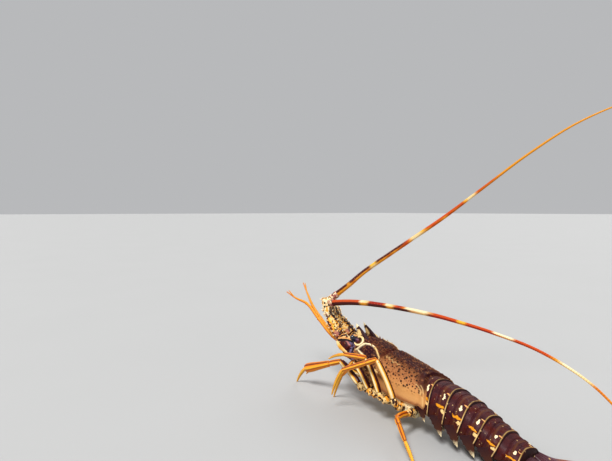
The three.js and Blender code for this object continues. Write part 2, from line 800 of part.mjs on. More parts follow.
// Eyes, antennae, antennules and mouthparts
for (const side of SIDES) {
  const eye = limb(mirrored(EYE.from, side), mirrored(EYE.to, side), EYE_PROFILE, {
    startFace: new THREE.Vector3(-1, 0, 0),
    radial: EYE_RADIAL,
    gaps: [0, 0],
  });
  addNode(`eye_${side}`, eye, COLOURS.eye);

  const [base, elbow, knob] = PEDUNCLES[side];
  const whip = WHIPS[side];
  const lower = limb(base, elbow, PEDUNCLE_PROFILES[0], {
    startFace: towards(base, elbow),
    endFace: bisector(base, elbow, knob),
    radial: PEDUNCLE_RADIAL,
  });
  const lowerThorns = limbThorns(base, elbow, PEDUNCLE_PROFILES[0][2][1], PEDUNCLE_ROWS[0], side);
  addNode(`antenna_${side}_merus`, joined(lower, lowerThorns), COLOURS.shell);
  const whipRun = towards(whip[0], whip[1]);
  const collarRoot = vec(whip[0]).addScaledVector(whipRun, -COLLAR_LENGTH).toArray();
  const upper = limb(elbow, knob, PEDUNCLE_PROFILES[1], {
    startFace: bisector(base, elbow, knob),
    radial: PEDUNCLE_RADIAL,
  });
  const collar = limb(collarRoot, whip[0], COLLAR_PROFILE, { endFace: whipRun, radial: PEDUNCLE_RADIAL });
  const upperThorns = limbThorns(elbow, knob, PEDUNCLE_PROFILES[1][2][1], PEDUNCLE_ROWS[1], side);
  addNode(`antenna_${side}_carpus`, joined(upper, [collar, ...upperThorns]), COLOURS.shell);

  const reach = whip.length - 1;
  const girthAt = (i) => THREE.MathUtils.lerp(WHIP_ROOT, WHIP_TIP, (i / reach) ** 0.9);
  for (let part = 0; part + 1 < WHIP_BREAKS.length; part++) {
    const first = WHIP_BREAKS[part];
    const final = WHIP_BREAKS[part + 1];
    const points = whip.slice(first, final + 1);
    const radii = points.map((_, i) => girthAt(first + i));
    const piece = bentLimb(points, radii, WHIP_RADIAL, GAP);
    addNode(`antenna_${side}_whip_${part + 1}`, piece, COLOURS.antenna);
  }

  const stem = ANTENNULES[side];
  const [twigFrom, twigTo] = stem.slice(-2);
  const twigRun = towards(twigFrom, twigTo).applyAxisAngle(new THREE.Vector3(0, 1, 0), FORK.angle);
  const twigRoot = vec(twigFrom).lerp(vec(twigTo), FORK.place);
  const twigTip = twigRoot.clone().addScaledVector(twigRun, FORK.length);
  const twig = spike(twigRoot.toArray(), twigTip.toArray(), FORK.width, FORK.sides);
  const antennule = bentLimb(stem, ANTENNULE_RADII, ANTENNULE_RADIAL);
  addNode(`antennule_${side}`, joined(antennule, [twig]), COLOURS.leg);

  const feeler = bentLimb(
    MAXILLIPED.map((point) => mirrored(point, side)),
    MAXILLIPED_RADII,
    MAXILLIPED_RADIAL,
  );
  addNode(`maxilliped_${side}`, feeler.subtract(sternumSkin(GAP)), COLOURS.leg);
}

// Legs: thigh, shank and dactyl of each
for (const side of SIDES) {
  LEGS[side].forEach(([hipRoot, hip, knee, ankle, toe], i) => {
    const girth = LEG_GIRTH[i];
    const faces = [
      bisector(hipRoot, hip, knee),
      bisector(hip, knee, ankle),
      bisector(knee, ankle, toe),
    ];
    const thigh = limb(hip, knee, MERUS_PROFILE, {
      startFace: faces[0],
      endFace: faces[1],
      radial: LEG_RADIAL,
      girth,
    });
    const kneeThorns = limbThorns(hip, knee, MERUS_PROFILE.at(-2)[1] * girth, KNEE_ROW, side);
    let shank = limb(knee, ankle, i === 0 ? CLAW_SHANK_PROFILE : SHANK_PROFILE, {
      startFace: faces[1],
      endFace: faces[2],
      radial: LEG_RADIAL,
      girth,
    });
    if (i === 0) {
      const spurRoot = vec(knee).lerp(vec(ankle), SPUR.at);
      const spurTip = spurRoot.clone().addScaledVector(towards(knee, ankle), SPUR.length);
      spurTip.z -= SPUR.length * SPUR.drop;
      shank = shank.add(spike(spurRoot.toArray(), spurTip.toArray(), SPUR.width, SPUR.sides));
    }
    const dactyl = limb(ankle, toe, DACTYL_PROFILE, {
      startFace: faces[2],
      radial: LEG_RADIAL,
      girth,
    });
    const name = `leg_${side}_${i + 1}`;
    addNode(`${name}_thigh`, joined(thigh, kneeThorns), COLOURS.leg);
    addNode(`${name}_shank`, shank, COLOURS.leg);
    addNode(`${name}_dactyl`, onFloor(dactyl), COLOURS.leg);
  });
}

const bounds = new THREE.Box3().setFromObject(root);
const centre = bounds.getCenter(new THREE.Vector3());
root.position.set(-centre.x, -centre.y, -bounds.min.z);

export default root;
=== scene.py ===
import itertools
import logging
import math
from dataclasses import dataclass, field
from enum import Enum
from typing import Callable, ClassVar

import bmesh
import bpy
import numpy as np
from mathutils import Matrix, Vector


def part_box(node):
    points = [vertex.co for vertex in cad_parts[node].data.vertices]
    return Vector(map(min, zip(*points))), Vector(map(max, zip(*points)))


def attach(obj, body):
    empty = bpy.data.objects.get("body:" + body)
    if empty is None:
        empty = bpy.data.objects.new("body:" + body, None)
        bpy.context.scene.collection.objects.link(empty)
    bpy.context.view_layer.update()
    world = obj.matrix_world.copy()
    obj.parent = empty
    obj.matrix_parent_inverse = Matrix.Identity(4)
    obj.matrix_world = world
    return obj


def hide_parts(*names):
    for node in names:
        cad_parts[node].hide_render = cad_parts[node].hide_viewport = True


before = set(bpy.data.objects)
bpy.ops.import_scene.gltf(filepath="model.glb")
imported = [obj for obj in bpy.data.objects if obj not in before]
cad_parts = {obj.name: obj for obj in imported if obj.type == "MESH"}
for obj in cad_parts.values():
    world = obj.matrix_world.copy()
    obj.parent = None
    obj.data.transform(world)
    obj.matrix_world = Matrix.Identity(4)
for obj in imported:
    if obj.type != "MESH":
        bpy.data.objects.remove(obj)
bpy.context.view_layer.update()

"""European spiny lobster, a still museum model at life size.

Sizes are millimetres in the model's own frame, head towards -X and left side towards -Y. The animal's
trunk, limbs and feelers are lofted skins, and thorns are copies of one small curved cone.

A skin is placed by a function of t, the share of its length, and angle, the turn round it in radians,
0 being above. Both are arrays with one number for each point, and the function returns the points.
"""

log = logging.getLogger("spiny_lobster")

MM = 0.001
TAU = 2 * math.pi
WELD = 1e-6
ROOT_BODY = "root"
ANNULUS = 2.3

Array = np.ndarray
Mesh = bpy.types.Mesh
Material = bpy.types.Material
Node = bpy.types.Node
Socket = bpy.types.NodeSocket
Pair = tuple[float, float]
Point = tuple[float, float, float]
Table = tuple[tuple[float, ...], ...]
Placer = Callable[[Array, Array], Array]
Swell = Callable[[Array], Array]


class Side(Enum):
    """The two sides of the animal, with the sign of Y."""

    LEFT = -1
    RIGHT = 1

    @property
    def word(self) -> str:
        """The side's name in lower case."""
        return self.name.lower()

    @property
    def index(self) -> int:
        """Place of the side's entry in a pair of tables."""
        return (self.value + 1) // 2

    def of(self, x: float, y: float, z: float) -> Array:
        """A point or direction given for the right side, on this side."""
        return vec(x, y * self.value, z)


class Slot(Enum):
    """The record's material slots."""

    SHELL = "shell"
    HEAD = "head_shell"
    PALE = "pale_shell"
    ABDOMEN = "abdomen_shell"
    FAN = "tail_fan"
    EYE = "eye"
    WHIP = "whip"
    ANTENNULE = "antennule"
    LEG = "leg_shell"


# Numbers and curves


def vec(*values: float) -> Array:
    """An array of numbers."""
    return np.array(values, float)


def unit(vectors: Array) -> Array:
    """Vectors of length one, the last axis being XYZ."""
    return vectors / np.linalg.norm(vectors, axis=-1, keepdims=True)


def curve(knots: Array, values: Array, at: Array) -> Array:
    """Smooth curve through values at rising knots.

    Args:
        knots: Rising places.
        values: One value or vector for each knot.
        at: Places to read.

    Returns:
        Interpolated values, one for each place.
    """
    slopes = np.gradient(values, knots, axis=0)
    i = np.clip(np.searchsorted(knots, at, side="right") - 1, 0, len(knots) - 2)
    run = knots[i + 1] - knots[i]
    u = np.clip((at - knots[i]) / run, 0, 1)
    if values.ndim > 1:
        u, run = u[:, None], run[:, None]
    start = (1 + 2 * u) * (1 - u) ** 2 * values[i] + u * (1 - u) ** 2 * run * slopes[i]
    return start + u**2 * (3 - 2 * u) * values[i + 1] - u**2 * (1 - u) * run * slopes[i + 1]


def columns(table: Table, at: Array) -> Array:
    """Smooth curves through a table's columns, one row for each, the first column being the places."""
    numbers = np.array(table, float)
    return curve(numbers[:, 0], numbers[:, 1:], at).T


def step(low: float, high: float, at: Array) -> Array:
    """Smooth step from 0 at low to 1 at high."""
    u = np.clip((at - low) / (high - low), 0, 1)
    return u * u * (3 - 2 * u)


def bell(at: Array, width: float) -> Array:
    """Rounded bump of height one at zero."""
    return np.exp(-((at / width) ** 2))


def boxed(value: Array, power: float) -> Array:
    """Signed power, which squares a round section below one."""
    return np.sign(value) * np.abs(value) ** power


def rounding(edge: Array) -> Array:
    """Quarter circle that rises from 0 at an edge to 1 at a distance of one."""
    return np.sqrt(np.clip(1 - (1 - np.clip(edge, 0, 1)) ** 2, 0, 1))


def descent(angle: Array) -> Array:
    """Share of the way down a section, from 0 above to 1 below."""
    return 1 - np.abs(1 - angle / math.pi)


def hoop(centre: Array, across: Array, over: Array, angle: Array, wide: Array, tall: Array) -> Array:
    """Points round middle points, at half widths across and half heights over them."""
    return centre + across * (np.sin(angle) * wide)[:, None] + over * (np.cos(angle) * tall)[:, None]


def ringed(depth: float, spacing: float) -> Swell:
    """Factor of a radius along a limb with rings."""
    return lambda distance: 1 + depth * np.cos(distance / spacing * TAU)


def chance(cells: Array, salt: float) -> Array:
    """Repeatable numbers from 0 to 1, one for each cell of a lattice; the salt tells draws apart."""
    waves = np.sin(cells @ vec(12.9898, 78.233, 37.719) + salt) * 43758.5453
    return np.abs(waves) % 1.0


def granules(points: Array, cell: float, salt: float) -> Array:
    """Height of rounded grains strewn over a surface, about one to a cell.

    Args:
        points: Places on the surface.
        cell: Mean distance between grains.
        salt: Tells one strewing from another.

    Returns:
        Heights from 0 to 1.
    """
    reach = 0.5
    local = points / cell
    corner = np.floor(local)
    nearest = np.full(len(points), reach)
    for offset in itertools.product((-1, 0, 1), repeat=3):
        near = corner + np.array(offset)
        jitter = np.stack([chance(near, salt + k) for k in range(3)], axis=-1)
        size = 0.55 + 0.45 * chance(near, salt + 5)
        nearest = np.minimum(nearest, np.linalg.norm(local - near - jitter, axis=-1) / size)
    return np.sqrt(np.clip(1 - (nearest / reach) ** 2, 0, 1))


def ripple(points: Array, length: float) -> Array:
    """Slow unevenness from -1 to 1 over a surface, from waves of about the given length."""
    x, y, z = (points / length * TAU).T
    return (np.sin(x + 1) + np.sin(y * 1.3 + 2) + np.sin(z * 1.7 + 3)) / 3


# Meshes


class Place:
    """Where the model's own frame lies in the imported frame."""

    TELSON_END = 194.0

    def __init__(self) -> None:
        """Reads the shift from the tail plate, which is symmetric and ends at a known place."""
        low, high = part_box("telson")
        self.shift = vec(high.x / MM - self.TELSON_END, (low.y + high.y) / 2 / MM, 0)

    def metres(self, points: Array) -> Array:
        """Points of the model's frame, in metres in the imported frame."""
        return (points + self.shift) * MM


PLACE = Place()


def new_object(name: str, mesh: Mesh) -> bpy.types.Object:
    """Links a new object with smooth faces.

    Args:
        name: Name of the object and its mesh.
        mesh: Finished mesh.

    Returns:
        The object, at the origin.
    """
    mesh.name = name
    mesh.polygons.foreach_set("use_smooth", [True] * len(mesh.polygons))
    thing = bpy.data.objects.new(name, mesh)
    bpy.context.scene.collection.objects.link(thing)
    return thing


def skin_mesh(rings: int, radial: int, place: Placer, marks: dict[str, Placer] | None = None) -> Mesh:
    """A closed skin: a grid is rolled round its length, welded along its seam and closed at its ends.

    Args:
        rings: Faces along the length.
        radial: Faces round it.
        place: Gives points for places along (0 to 1) and angles (0 above).
        marks: Further attributes, as functions of the same two.

    Returns:
        Mesh with the attributes along (0 to 1) and round (0 above, 1 below).
    """
    mesh = bpy.data.meshes.new("skin")
    bm = bmesh.new()
    bmesh.ops.create_grid(bm, x_segments=rings, y_segments=radial, size=0.5)
    bm.to_mesh(mesh)
    flat = np.empty(len(mesh.vertices) * 3)
    mesh.vertices.foreach_get("co", flat)
    along = np.round((flat[0::3] + 0.5) * rings) / rings
    turn = np.round((flat[1::3] + 0.5) * radial) / radial
    angle = turn * TAU
    mesh.vertices.foreach_set("co", PLACE.metres(place(along, angle)).ravel())
    values = {"along": along, "round": 1 - np.abs(1 - 2 * turn)}
    values.update({key: mark(along, angle) for key, mark in (marks or {}).items()})
    for key, value in values.items():
        kind, entry = ("FLOAT_VECTOR", "vector") if value.ndim > 1 else ("FLOAT", "value")
        mesh.attributes.new(key, kind, "POINT").data.foreach_set(entry, value.ravel())
    bm.clear()
    bm.from_mesh(mesh)
    bmesh.ops.remove_doubles(bm, verts=bm.verts, dist=WELD)
    bmesh.ops.holes_fill(bm, edges=[edge for edge in bm.edges if edge.is_boundary], sides=0)
    bmesh.ops.recalc_face_normals(bm, faces=bm.faces)
    bm.to_mesh(mesh)
    bm.free()
    return mesh


@dataclass
class Limb:
    """One straight or bowed length of a limb, rounded at both ends."""

    start: Array
    end: Array
    profile: Table
    girth: float = 1.0
    flatness: float = 1.0
    bow: float = 0.0
    cap: float = 0.6
    ridges: float = 0.0
    floor: float = -math.inf

    def axes(self) -> tuple[Array, Array, Array]:
        """Directions along the limb, across it and over it."""
        along = unit(self.end - self.start)
        across = np.cross([0, 0, 1], along)
        across = unit(across) if np.linalg.norm(across) > 0.05 else vec(0, 1, 0)
        return along, across, np.cross(along, across)

    def radius(self, at: Array) -> Array:
        """Radius along the limb, without its rounded ends."""
        return columns(self.profile, at)[0] * self.girth

    def centre(self, at: Array) -> Array:
        """Middle line of the limb."""
        line = self.start + (self.end - self.start) * at[:, None]
        return line + self.axes()[2] * (self.bow * np.sin(math.pi * at))[:, None]

    def place(self, t: Array, angle: Array) -> Array:
        """Points of the limb's skin."""
        at = 0.5 - 0.5 * np.cos(math.pi * t)
        radius = self.radius(at)
        edge = np.minimum(at, 1 - at) * np.linalg.norm(self.end - self.start) / (self.cap * radius + 1e-9)
        reach = radius * (1 + self.ridges * np.cos(4 * angle)) * rounding(edge)
        points = hoop(self.centre(at), *self.axes()[1:], angle, reach, reach * self.flatness)
        points[:, 2] = np.maximum(points[:, 2], self.floor)
        return points

    def surface(self, at: float, degrees: float) -> tuple[Array, Array]:
        """A point on the limb's skin and the direction out of it.

        Args:
            at: Place along the limb.
            degrees: Angle from the upper side.

        Returns:
            The point and the outward direction.
        """
        _, across, over = self.axes()
        angle = math.radians(degrees)
        out = unit(across * math.sin(angle) + over * math.cos(angle) * self.flatness)
        return self.centre(vec(at))[0] + out * self.radius(vec(at))[0], out


@dataclass
class Path:
    """A bent limb or feeler through several points."""

    points: Array
    radii: Array
    lengths: Array = field(init=False)

    def __post_init__(self) -> None:
        """Measures the distance to each point along the path."""
        self.points, self.radii = np.array(self.points, float), np.array(self.radii, float)
        runs = np.linalg.norm(np.diff(self.points, axis=0), axis=1)
        self.lengths = np.concatenate([[0.0], np.cumsum(runs)])

    @property
    def length(self) -> float:
        """Whole length of the path."""
        return float(self.lengths[-1])

    def frame_at(self, distance: Array) -> tuple[Array, Array, Array, Array]:
        """Middle line and axes at distances along the path.

        Args:
            distance: Distances from the root.

        Returns:
            Centres, and directions along, across and over.
        """
        centre = curve(self.lengths, self.points, distance)
        ahead = curve(self.lengths, self.points, np.minimum(distance + 0.5, self.length))
        behind = curve(self.lengths, self.points, np.maximum(distance - 0.5, 0))
        along = unit(ahead - behind)
        across = unit(np.cross(vec(0, 0, 1), along))
        return centre, along, across, np.cross(along, across)

    def radius(self, distance: Array) -> Array:
        """Radius at distances along the path."""
        return curve(self.lengths, self.radii, distance)

    def rounded(self, cap: float, swell: Swell = np.ones_like, root: bool = True) -> Placer:
        """Skin of the path with rounded ends.

        Args:
            cap: Share of the length over which an end rounds off.
            swell: Gives the factor of the radius at distances from the root.
            root: Whether the root end is rounded too.

        Returns:
            Function that places the skin's points.
        """

        def place(t: Array, angle: Array) -> Array:
            """Points of the rounded skin."""
            distance = t * self.length
            edge = np.minimum(t, 1 - t) if root else 1 - t
            reach = self.radius(distance) * swell(distance) * rounding(edge / cap)
            centre, _, across, over = self.frame_at(distance)
            return hoop(centre, across, over, angle, reach, reach)

        return place


@dataclass
class Plate:
    """A flattened blade from root to tip that may hook, with teeth along one edge."""

    base: Array
    tip: Array
    normal: Array
    width: float
    thickness: float
    hook: float = 0.0
    teeth: int = 0
    bite: float = 0.0
    taper: float = 1.3
    edge: int = 1

    def line(self, share: Array | float) -> Array:
        """Points on the straight line from root to tip."""
        return self.base + (self.tip - self.base) * share

    def axes(self) -> tuple[Array, Array, Array]:
        """Directions along the blade, towards its toothed edge and through its thickness."""
        along = unit(self.tip - self.base)
        wide = unit(np.cross(along, self.normal)) * self.edge
        return along, wide, np.cross(wide, along)

    def place(self, t: Array, angle: Array) -> Array:
        """Points of the blade, the toothed edge at angle 0."""
        _, wide, thin = self.axes()
        half = self.width * np.clip(1 - t**self.taper, 0, 1)
        saw = ((t * (self.teeth + 0.5)) % 1.0) * np.clip(1 - t, 0, 1) ** 0.4
        toothed = np.clip(np.cos(angle), 0, 1) ** 2 * self.bite * (saw if self.teeth else 0)
        across = boxed(np.cos(angle), 0.9) * half + toothed + self.hook * t**2
        deep = boxed(np.sin(angle), 0.8) * self.thickness * np.clip(1 - t**2.2, 0, 1)
        return self.line(t[:, None]) + wide * across[:, None] + thin * deep[:, None]


# Finishes


class Hue(Enum):
    """Colours of the shell, as linear red, green and blue."""

    PLUM = (0.034, 0.006, 0.010)
    VIOLET = (0.100, 0.030, 0.080)
    MULBERRY = (0.12, 0.035, 0.05)
    MAROON = (0.070, 0.006, 0.004)
    WINE = (0.06, 0.012, 0.015)
    UMBER = (0.080, 0.022, 0.009)
    CHESTNUT = (0.14, 0.04, 0.03)
    RUST = (0.24, 0.050, 0.010)
    BROWN = (0.140, 0.052, 0.019)
    TAN = (0.27, 0.108, 0.040)
    SALMON = (0.44, 0.190, 0.072)
    CLAY = (0.62, 0.27, 0.12)
    APRICOT = (0.68, 0.36, 0.14)
    PEACH = (0.64, 0.325, 0.118)
    CREAM = (0.82, 0.570, 0.250)
    IVORY = (0.87, 0.730, 0.460)
    OLIVE = (0.36, 0.24, 0.075)
    ORANGE = (0.62, 0.165, 0.006)
    AMBER = (0.70, 0.290, 0.014)
    YELLOW = (0.78, 0.440, 0.035)
    GOLD = (0.86, 0.370, 0.035)
    SCARLET = (0.34, 0.020, 0.005)
    FLAME = (0.54, 0.075, 0.006)
    ROSE = (0.42, 0.15, 0.13)
    SLATE = (0.15, 0.115, 0.2)
    INK = (0.008, 0.004, 0.005)
    SLOE = (0.03, 0.008, 0.012)
    MIDNIGHT = (0.006, 0.008, 0.020)
    # Steel blue of the painted sheen on the eye.
    PAINTED_SHEEN = (0.03, 0.036, 0.06)
    CHALK = (0.42, 0.42, 0.415)
    PAPER = (0.425, 0.425, 0.42)


Stops = list[tuple[float, Hue]]
Marks = tuple[tuple[float, float, float, float, Hue], ...]


def stops(text: str, whole: float = 1.0) -> Stops:
    """Colour stops from places and names in turn, such as "0 plum 40 ivory" along a whole of 50."""
    words = text.split()
    return [(float(at) / whole, Hue[name.upper()]) for at, name in zip(words[0::2], words[1::2])]


class Graph:
    """Adds and links the nodes of one material or node group, and keeps the colour painted so far."""

    position: Socket
    shader: Node
    grain: Node
    base: Socket
    result: Material

    def __init__(self, tree: bpy.types.NodeTree) -> None:
        """Wraps a node tree."""
        self.tree = tree

    @classmethod
    def material(cls, name: str, coat: float, specular: float) -> "Graph":
        """A new material with its Principled shader.

        Args:
            name: Name of the material.
            coat: Weight of the clear coat.
            specular: Specular level.

        Returns:
            The graph, with its shader in .shader.
        """
        made = bpy.data.materials.new(name)
        made.use_nodes = True
        graph = cls(made.node_tree)
        graph.result = made
        graph.shader = next(n for n in made.node_tree.nodes if n.type == "BSDF_PRINCIPLED")
        for key, value in (("Coat Weight", coat), ("Coat Roughness", 0.18), ("Specular IOR Level", specular)):
            graph.shader.inputs[key].default_value = value
        graph.position = graph.node("ShaderNodeTexCoord").outputs["Object"]
        return graph

    def node(self, kind: str, inputs: dict[str | int, object] | None = None, **settings: object) -> Node:
        """A new node.

        Args:
            kind: Type of the node.
            inputs: What its inputs are fed, by name or number.
            settings: Its settings.

        Returns:
            The node.
        """
        made = self.tree.nodes.new(kind)
        for key, value in settings.items():
            setattr(made, key, value)
        for key, value in (inputs or {}).items():
            self.feed(made.inputs[key], value)
        return made

    def feed(self, socket: Socket, value: object) -> None:
        """Feeds an input.

        Args:
            socket: The input.
            value: Output to link, colour or number to set.
        """
        if isinstance(value, Socket):
            self.tree.links.new(value, socket)
        else:
            socket.default_value = (*value.value, 1.0) if isinstance(value, Hue) else value

    def math(self, operation: str, a: object, b: object = 0.0, clamp: bool = False) -> Socket:
        """Result of a Math node."""
        return self.node("ShaderNodeMath", {0: a, 1: b}, operation=operation, use_clamp=clamp).outputs[0]

    def times(self, product: object, *factors: object) -> object:
        """Product of several values.

        Args:
            product: The first value.
            factors: The others.

        Returns:
            Their product.
        """
        for factor in factors:
            product = self.math("MULTIPLY", product, factor)
        return product

    def span(self, value: object, low: float, high: float, first: float = 0.0, last: float = 1.0) -> Socket:
        """A value mapped smoothly from one range to another."""
        inputs = dict(enumerate((value, low, high, first, last)))
        return self.node("ShaderNodeMapRange", inputs, interpolation_type="SMOOTHSTEP").outputs[0]

    def window(self, value: object, low: float, high: float, soft: float) -> Socket:
        """One between two values and zero outside them, with soft ends."""
        fall = self.span(value, high - soft, high + soft, 1.0, 0.0)
        return self.times(self.span(value, low - soft, low + soft), fall)

    def oval(self, x: object, y: object, *mark: float) -> Socket:
        """Mask of an oval mark.

        Args:
            x: First coordinate.
            y: Second coordinate.
            mark: The mark's middle and its half lengths, as x, y, x and y.

        Returns:
            One inside the mark and zero outside it.
        """
        squares = []
        for value, centre, half in zip((x, y), mark[:2], mark[2:]):
            away = self.math("DIVIDE", self.math("SUBTRACT", value, centre), half)
            squares.append(self.times(away, away))
        return self.span(self.math("ADD", *squares), 0.65, 1.25, 1.0, 0.0)

    def mix(self, factor: object, a: object, b: object) -> Socket:
        """Mix of two colours."""
        return self.node("ShaderNodeMix", {"Factor": factor, 6: a, 7: b}, data_type="RGBA").outputs[2]

    def over(self, colour: object, *factors: object) -> None:
        """Paints a colour over what is painted so far, by the product of some factors."""
        self.base = self.mix(self.times(*factors), self.base, colour)

    def ramp(self, factor: object, stops: Stops) -> Socket:
        """Colour ramp.

        Args:
            factor: Place on the ramp.
            stops: Places and their colours.

        Returns:
            The colour at that place.
        """
        made = self.node("ShaderNodeValToRGB", {0: factor})
        elements = made.color_ramp.elements
        while len(elements) < len(stops):
            elements.new(0.5)
        for element, (at, hue) in zip(elements, stops):
            element.position, element.color = at, (*hue.value, 1.0)
        return made.outputs[0]

    def attribute(self, name: str) -> Socket:
        """A number stored on the mesh."""
        return self.node("ShaderNodeAttribute", attribute_name=name).outputs["Fac"]

    def noise(self, scale: float, detail: float = 3.0) -> Socket:
        """Noise from 0 to 1."""
        inputs = {"Vector": self.position, "Scale": scale, "Detail": detail}
        return self.node("ShaderNodeTexNoise", inputs).outputs["Fac"]

    def dots(self, per_metre: float, size: float, soft: float) -> Socket:
        """Round dots laid evenly over a surface by the vector lay, stored on the mesh.

        Args:
            per_metre: Dots to the metre.
            size: Radius of the largest, as a share of their distance.
            soft: Width of a dot's edge, as a share of their distance.

        Returns:
            Mask of the dots.
        """
        flat = self.node("ShaderNodeAttribute", attribute_name="lay").outputs["Vector"]
        inputs = {"Vector": flat, "Scale": per_metre * MM, "Randomness": 0.85}
        cells = self.node("ShaderNodeTexVoronoi", inputs, voronoi_dimensions="2D").outputs
        draw = self.node("ShaderNodeSeparateColor", {0: cells["Color"]}).outputs[0]
        radius = self.span(draw, 0.0, 1.0, size * 0.45, size)
        return self.math("DIVIDE", self.math("SUBTRACT", radius, cells["Distance"]), soft, clamp=True)

    def drift(self, value: object, scale: float, amount: float) -> Socket:
        """A value that wanders a little over the surface."""
        swing = self.times(self.math("SUBTRACT", self.noise(scale), 0.5), 2 * amount)
        return self.math("ADD", value, swing)

    def use(self, group: bpy.types.NodeTree, **values: object) -> Node:
        """Places a node group and feeds its inputs by name."""
        return self.node("ShaderNodeGroup", {"Vector": self.position, **values}, node_tree=group)

    def patches(self, scale: float, share: float, soft: float) -> Socket:
        """Mask of irregular patches that cover a share of the surface."""
        return self.use(PATCHES, Scale=scale, Share=share, Soft=soft).outputs["Mask"]

    def freckles(self, scale: float, size: float, soft: float) -> Socket:
        """Mask of round dots of uneven size."""
        return self.use(FRECKLES, Scale=scale, Size=size, Soft=soft).outputs["Mask"]

    def relief(self, height: object, depth: float) -> None:
        """Feeds a Bump node of a depth in millimetres to the shader's normal."""
        bump = self.node("ShaderNodeBump", {"Strength": 0.9, "Distance": depth * MM, "Height": height})
        self.feed(self.shader.inputs["Normal"], bump.outputs[0])

    def done(self, roughness: object) -> Material:
        """Finishes the material.

        Args:
            roughness: Roughness of the shell.

        Returns:
            The material, in the colour painted so far.
        """
        self.feed(self.shader.inputs["Base Color"], self.base)
        self.feed(self.shader.inputs["Roughness"], roughness)
        return self.result


class Group(Graph):
    """A shader node group that turns a position and some numbers into other numbers."""

    def __init__(self, name: str, outputs: tuple[str, ...], **inputs: float) -> None:
        """Makes the empty group.

        Args:
            name: Name of the group.
            outputs: Number outputs.
            inputs: Number inputs and their defaults; a Vector input is added.
        """
        super().__init__(bpy.data.node_groups.new(name, "ShaderNodeTree"))
        sockets = self.tree.interface
        sockets.new_socket("Vector", in_out="INPUT", socket_type="NodeSocketVector")
        for key, value in inputs.items():
            sockets.new_socket(key, in_out="INPUT", socket_type="NodeSocketFloat").default_value = value
        for key in outputs:
            sockets.new_socket(key, in_out="OUTPUT", socket_type="NodeSocketFloat")
        self.given = self.node("NodeGroupInput").outputs
        self.wanted = self.node("NodeGroupOutput").inputs
        self.position = self.given["Vector"]

    def texture(self, kind: str, scale: str, **inputs: float) -> dict[str, Socket]:
        """Outputs of a texture at the given position, scaled by one of the group's inputs."""
        return self.node(kind, {"Vector": self.position, "Scale": self.given[scale], **inputs}).outputs


def make_freckles() -> bpy.types.NodeTree:
    """Round dots of uneven size, strewn over the shell."""
    g = Group("Freckles", ("Mask",), Scale=200.0, Size=0.3, Soft=0.08)
    cells = g.texture("ShaderNodeTexVoronoi", "Scale")
    draw = g.node("ShaderNodeSeparateColor", {0: cells["Color"]}).outputs[0]
    size = g.times(g.given["Size"], g.span(draw, 0.1, 1.0, 0.35, 1.15))
    edge = g.math("SUBTRACT", size, cells["Distance"])
    g.feed(g.wanted["Mask"], g.math("DIVIDE", edge, g.given["Soft"], clamp=True))
    return g.tree


def make_patches() -> bpy.types.NodeTree:
    """Irregular patches that cover a given share of the surface."""
    g = Group("Patches", ("Mask",), Scale=120.0, Share=0.5, Soft=0.05)
    cloud = g.texture("ShaderNodeTexNoise", "Scale", Detail=4.0, Roughness=0.62)["Fac"]
    edge = g.math("SUBTRACT", cloud, g.math("SUBTRACT", 1.0, g.given["Share"]))
    g.feed(g.wanted["Mask"], g.math("ADD", g.math("DIVIDE", edge, g.given["Soft"]), 0.5, clamp=True))
    return g.tree


def make_shell_grain() -> bpy.types.NodeTree:
    """Fine pits and grains of a dry shell: a height, and a mask of the worn high spots."""
    g = Group("Shell grain", ("Height", "Worn"), Pits=900.0, Coarse=260.0)
    pits = g.span(g.texture("ShaderNodeTexVoronoi", "Pits")["Distance"], 0.05, 0.4)
    coarse = g.texture("ShaderNodeTexNoise", "Coarse", Detail=5.0)["Fac"]
    g.feed(g.wanted["Height"], g.math("ADD", g.times(pits, 0.45), g.times(coarse, 0.55)))
    g.feed(g.wanted["Worn"], g.span(coarse, 0.5, 0.72))
    return g.tree


FRECKLES = make_freckles()
PATCHES = make_patches()
GRAIN = make_shell_grain()


@dataclass(frozen=True)
class Surface:
    """Gloss and grain of a shell: pits and coarse grains to the metre, their depth and the roughness."""

    coat: float
    specular: float
    pits: float
    coarse: float
    depth: float
    smooth: float
    rough: float


@dataclass(frozen=True)
class ShellFinish:
    """A finish with the grain of a dry shell. Each kind paints its own colours."""

    name: str
    surface: ClassVar[Surface] = Surface(0.04, 0.22, 900.0, 320.0, 0.22, 0.34, 0.56)

    def paint(self, g: Graph) -> None:
        """Paints the colours."""
        raise NotImplementedError

    def material(self) -> Material:
        """Builds the material."""
        s = self.surface
        g = Graph.material(self.name, s.coat, s.specular)
        g.grain = g.use(GRAIN, Pits=s.pits, Coarse=s.coarse)
        self.paint(g)
        g.relief(g.grain.outputs["Height"], s.depth)
        return g.done(g.span(g.grain.outputs["Height"], 0.2, 0.9, s.smooth, s.rough))


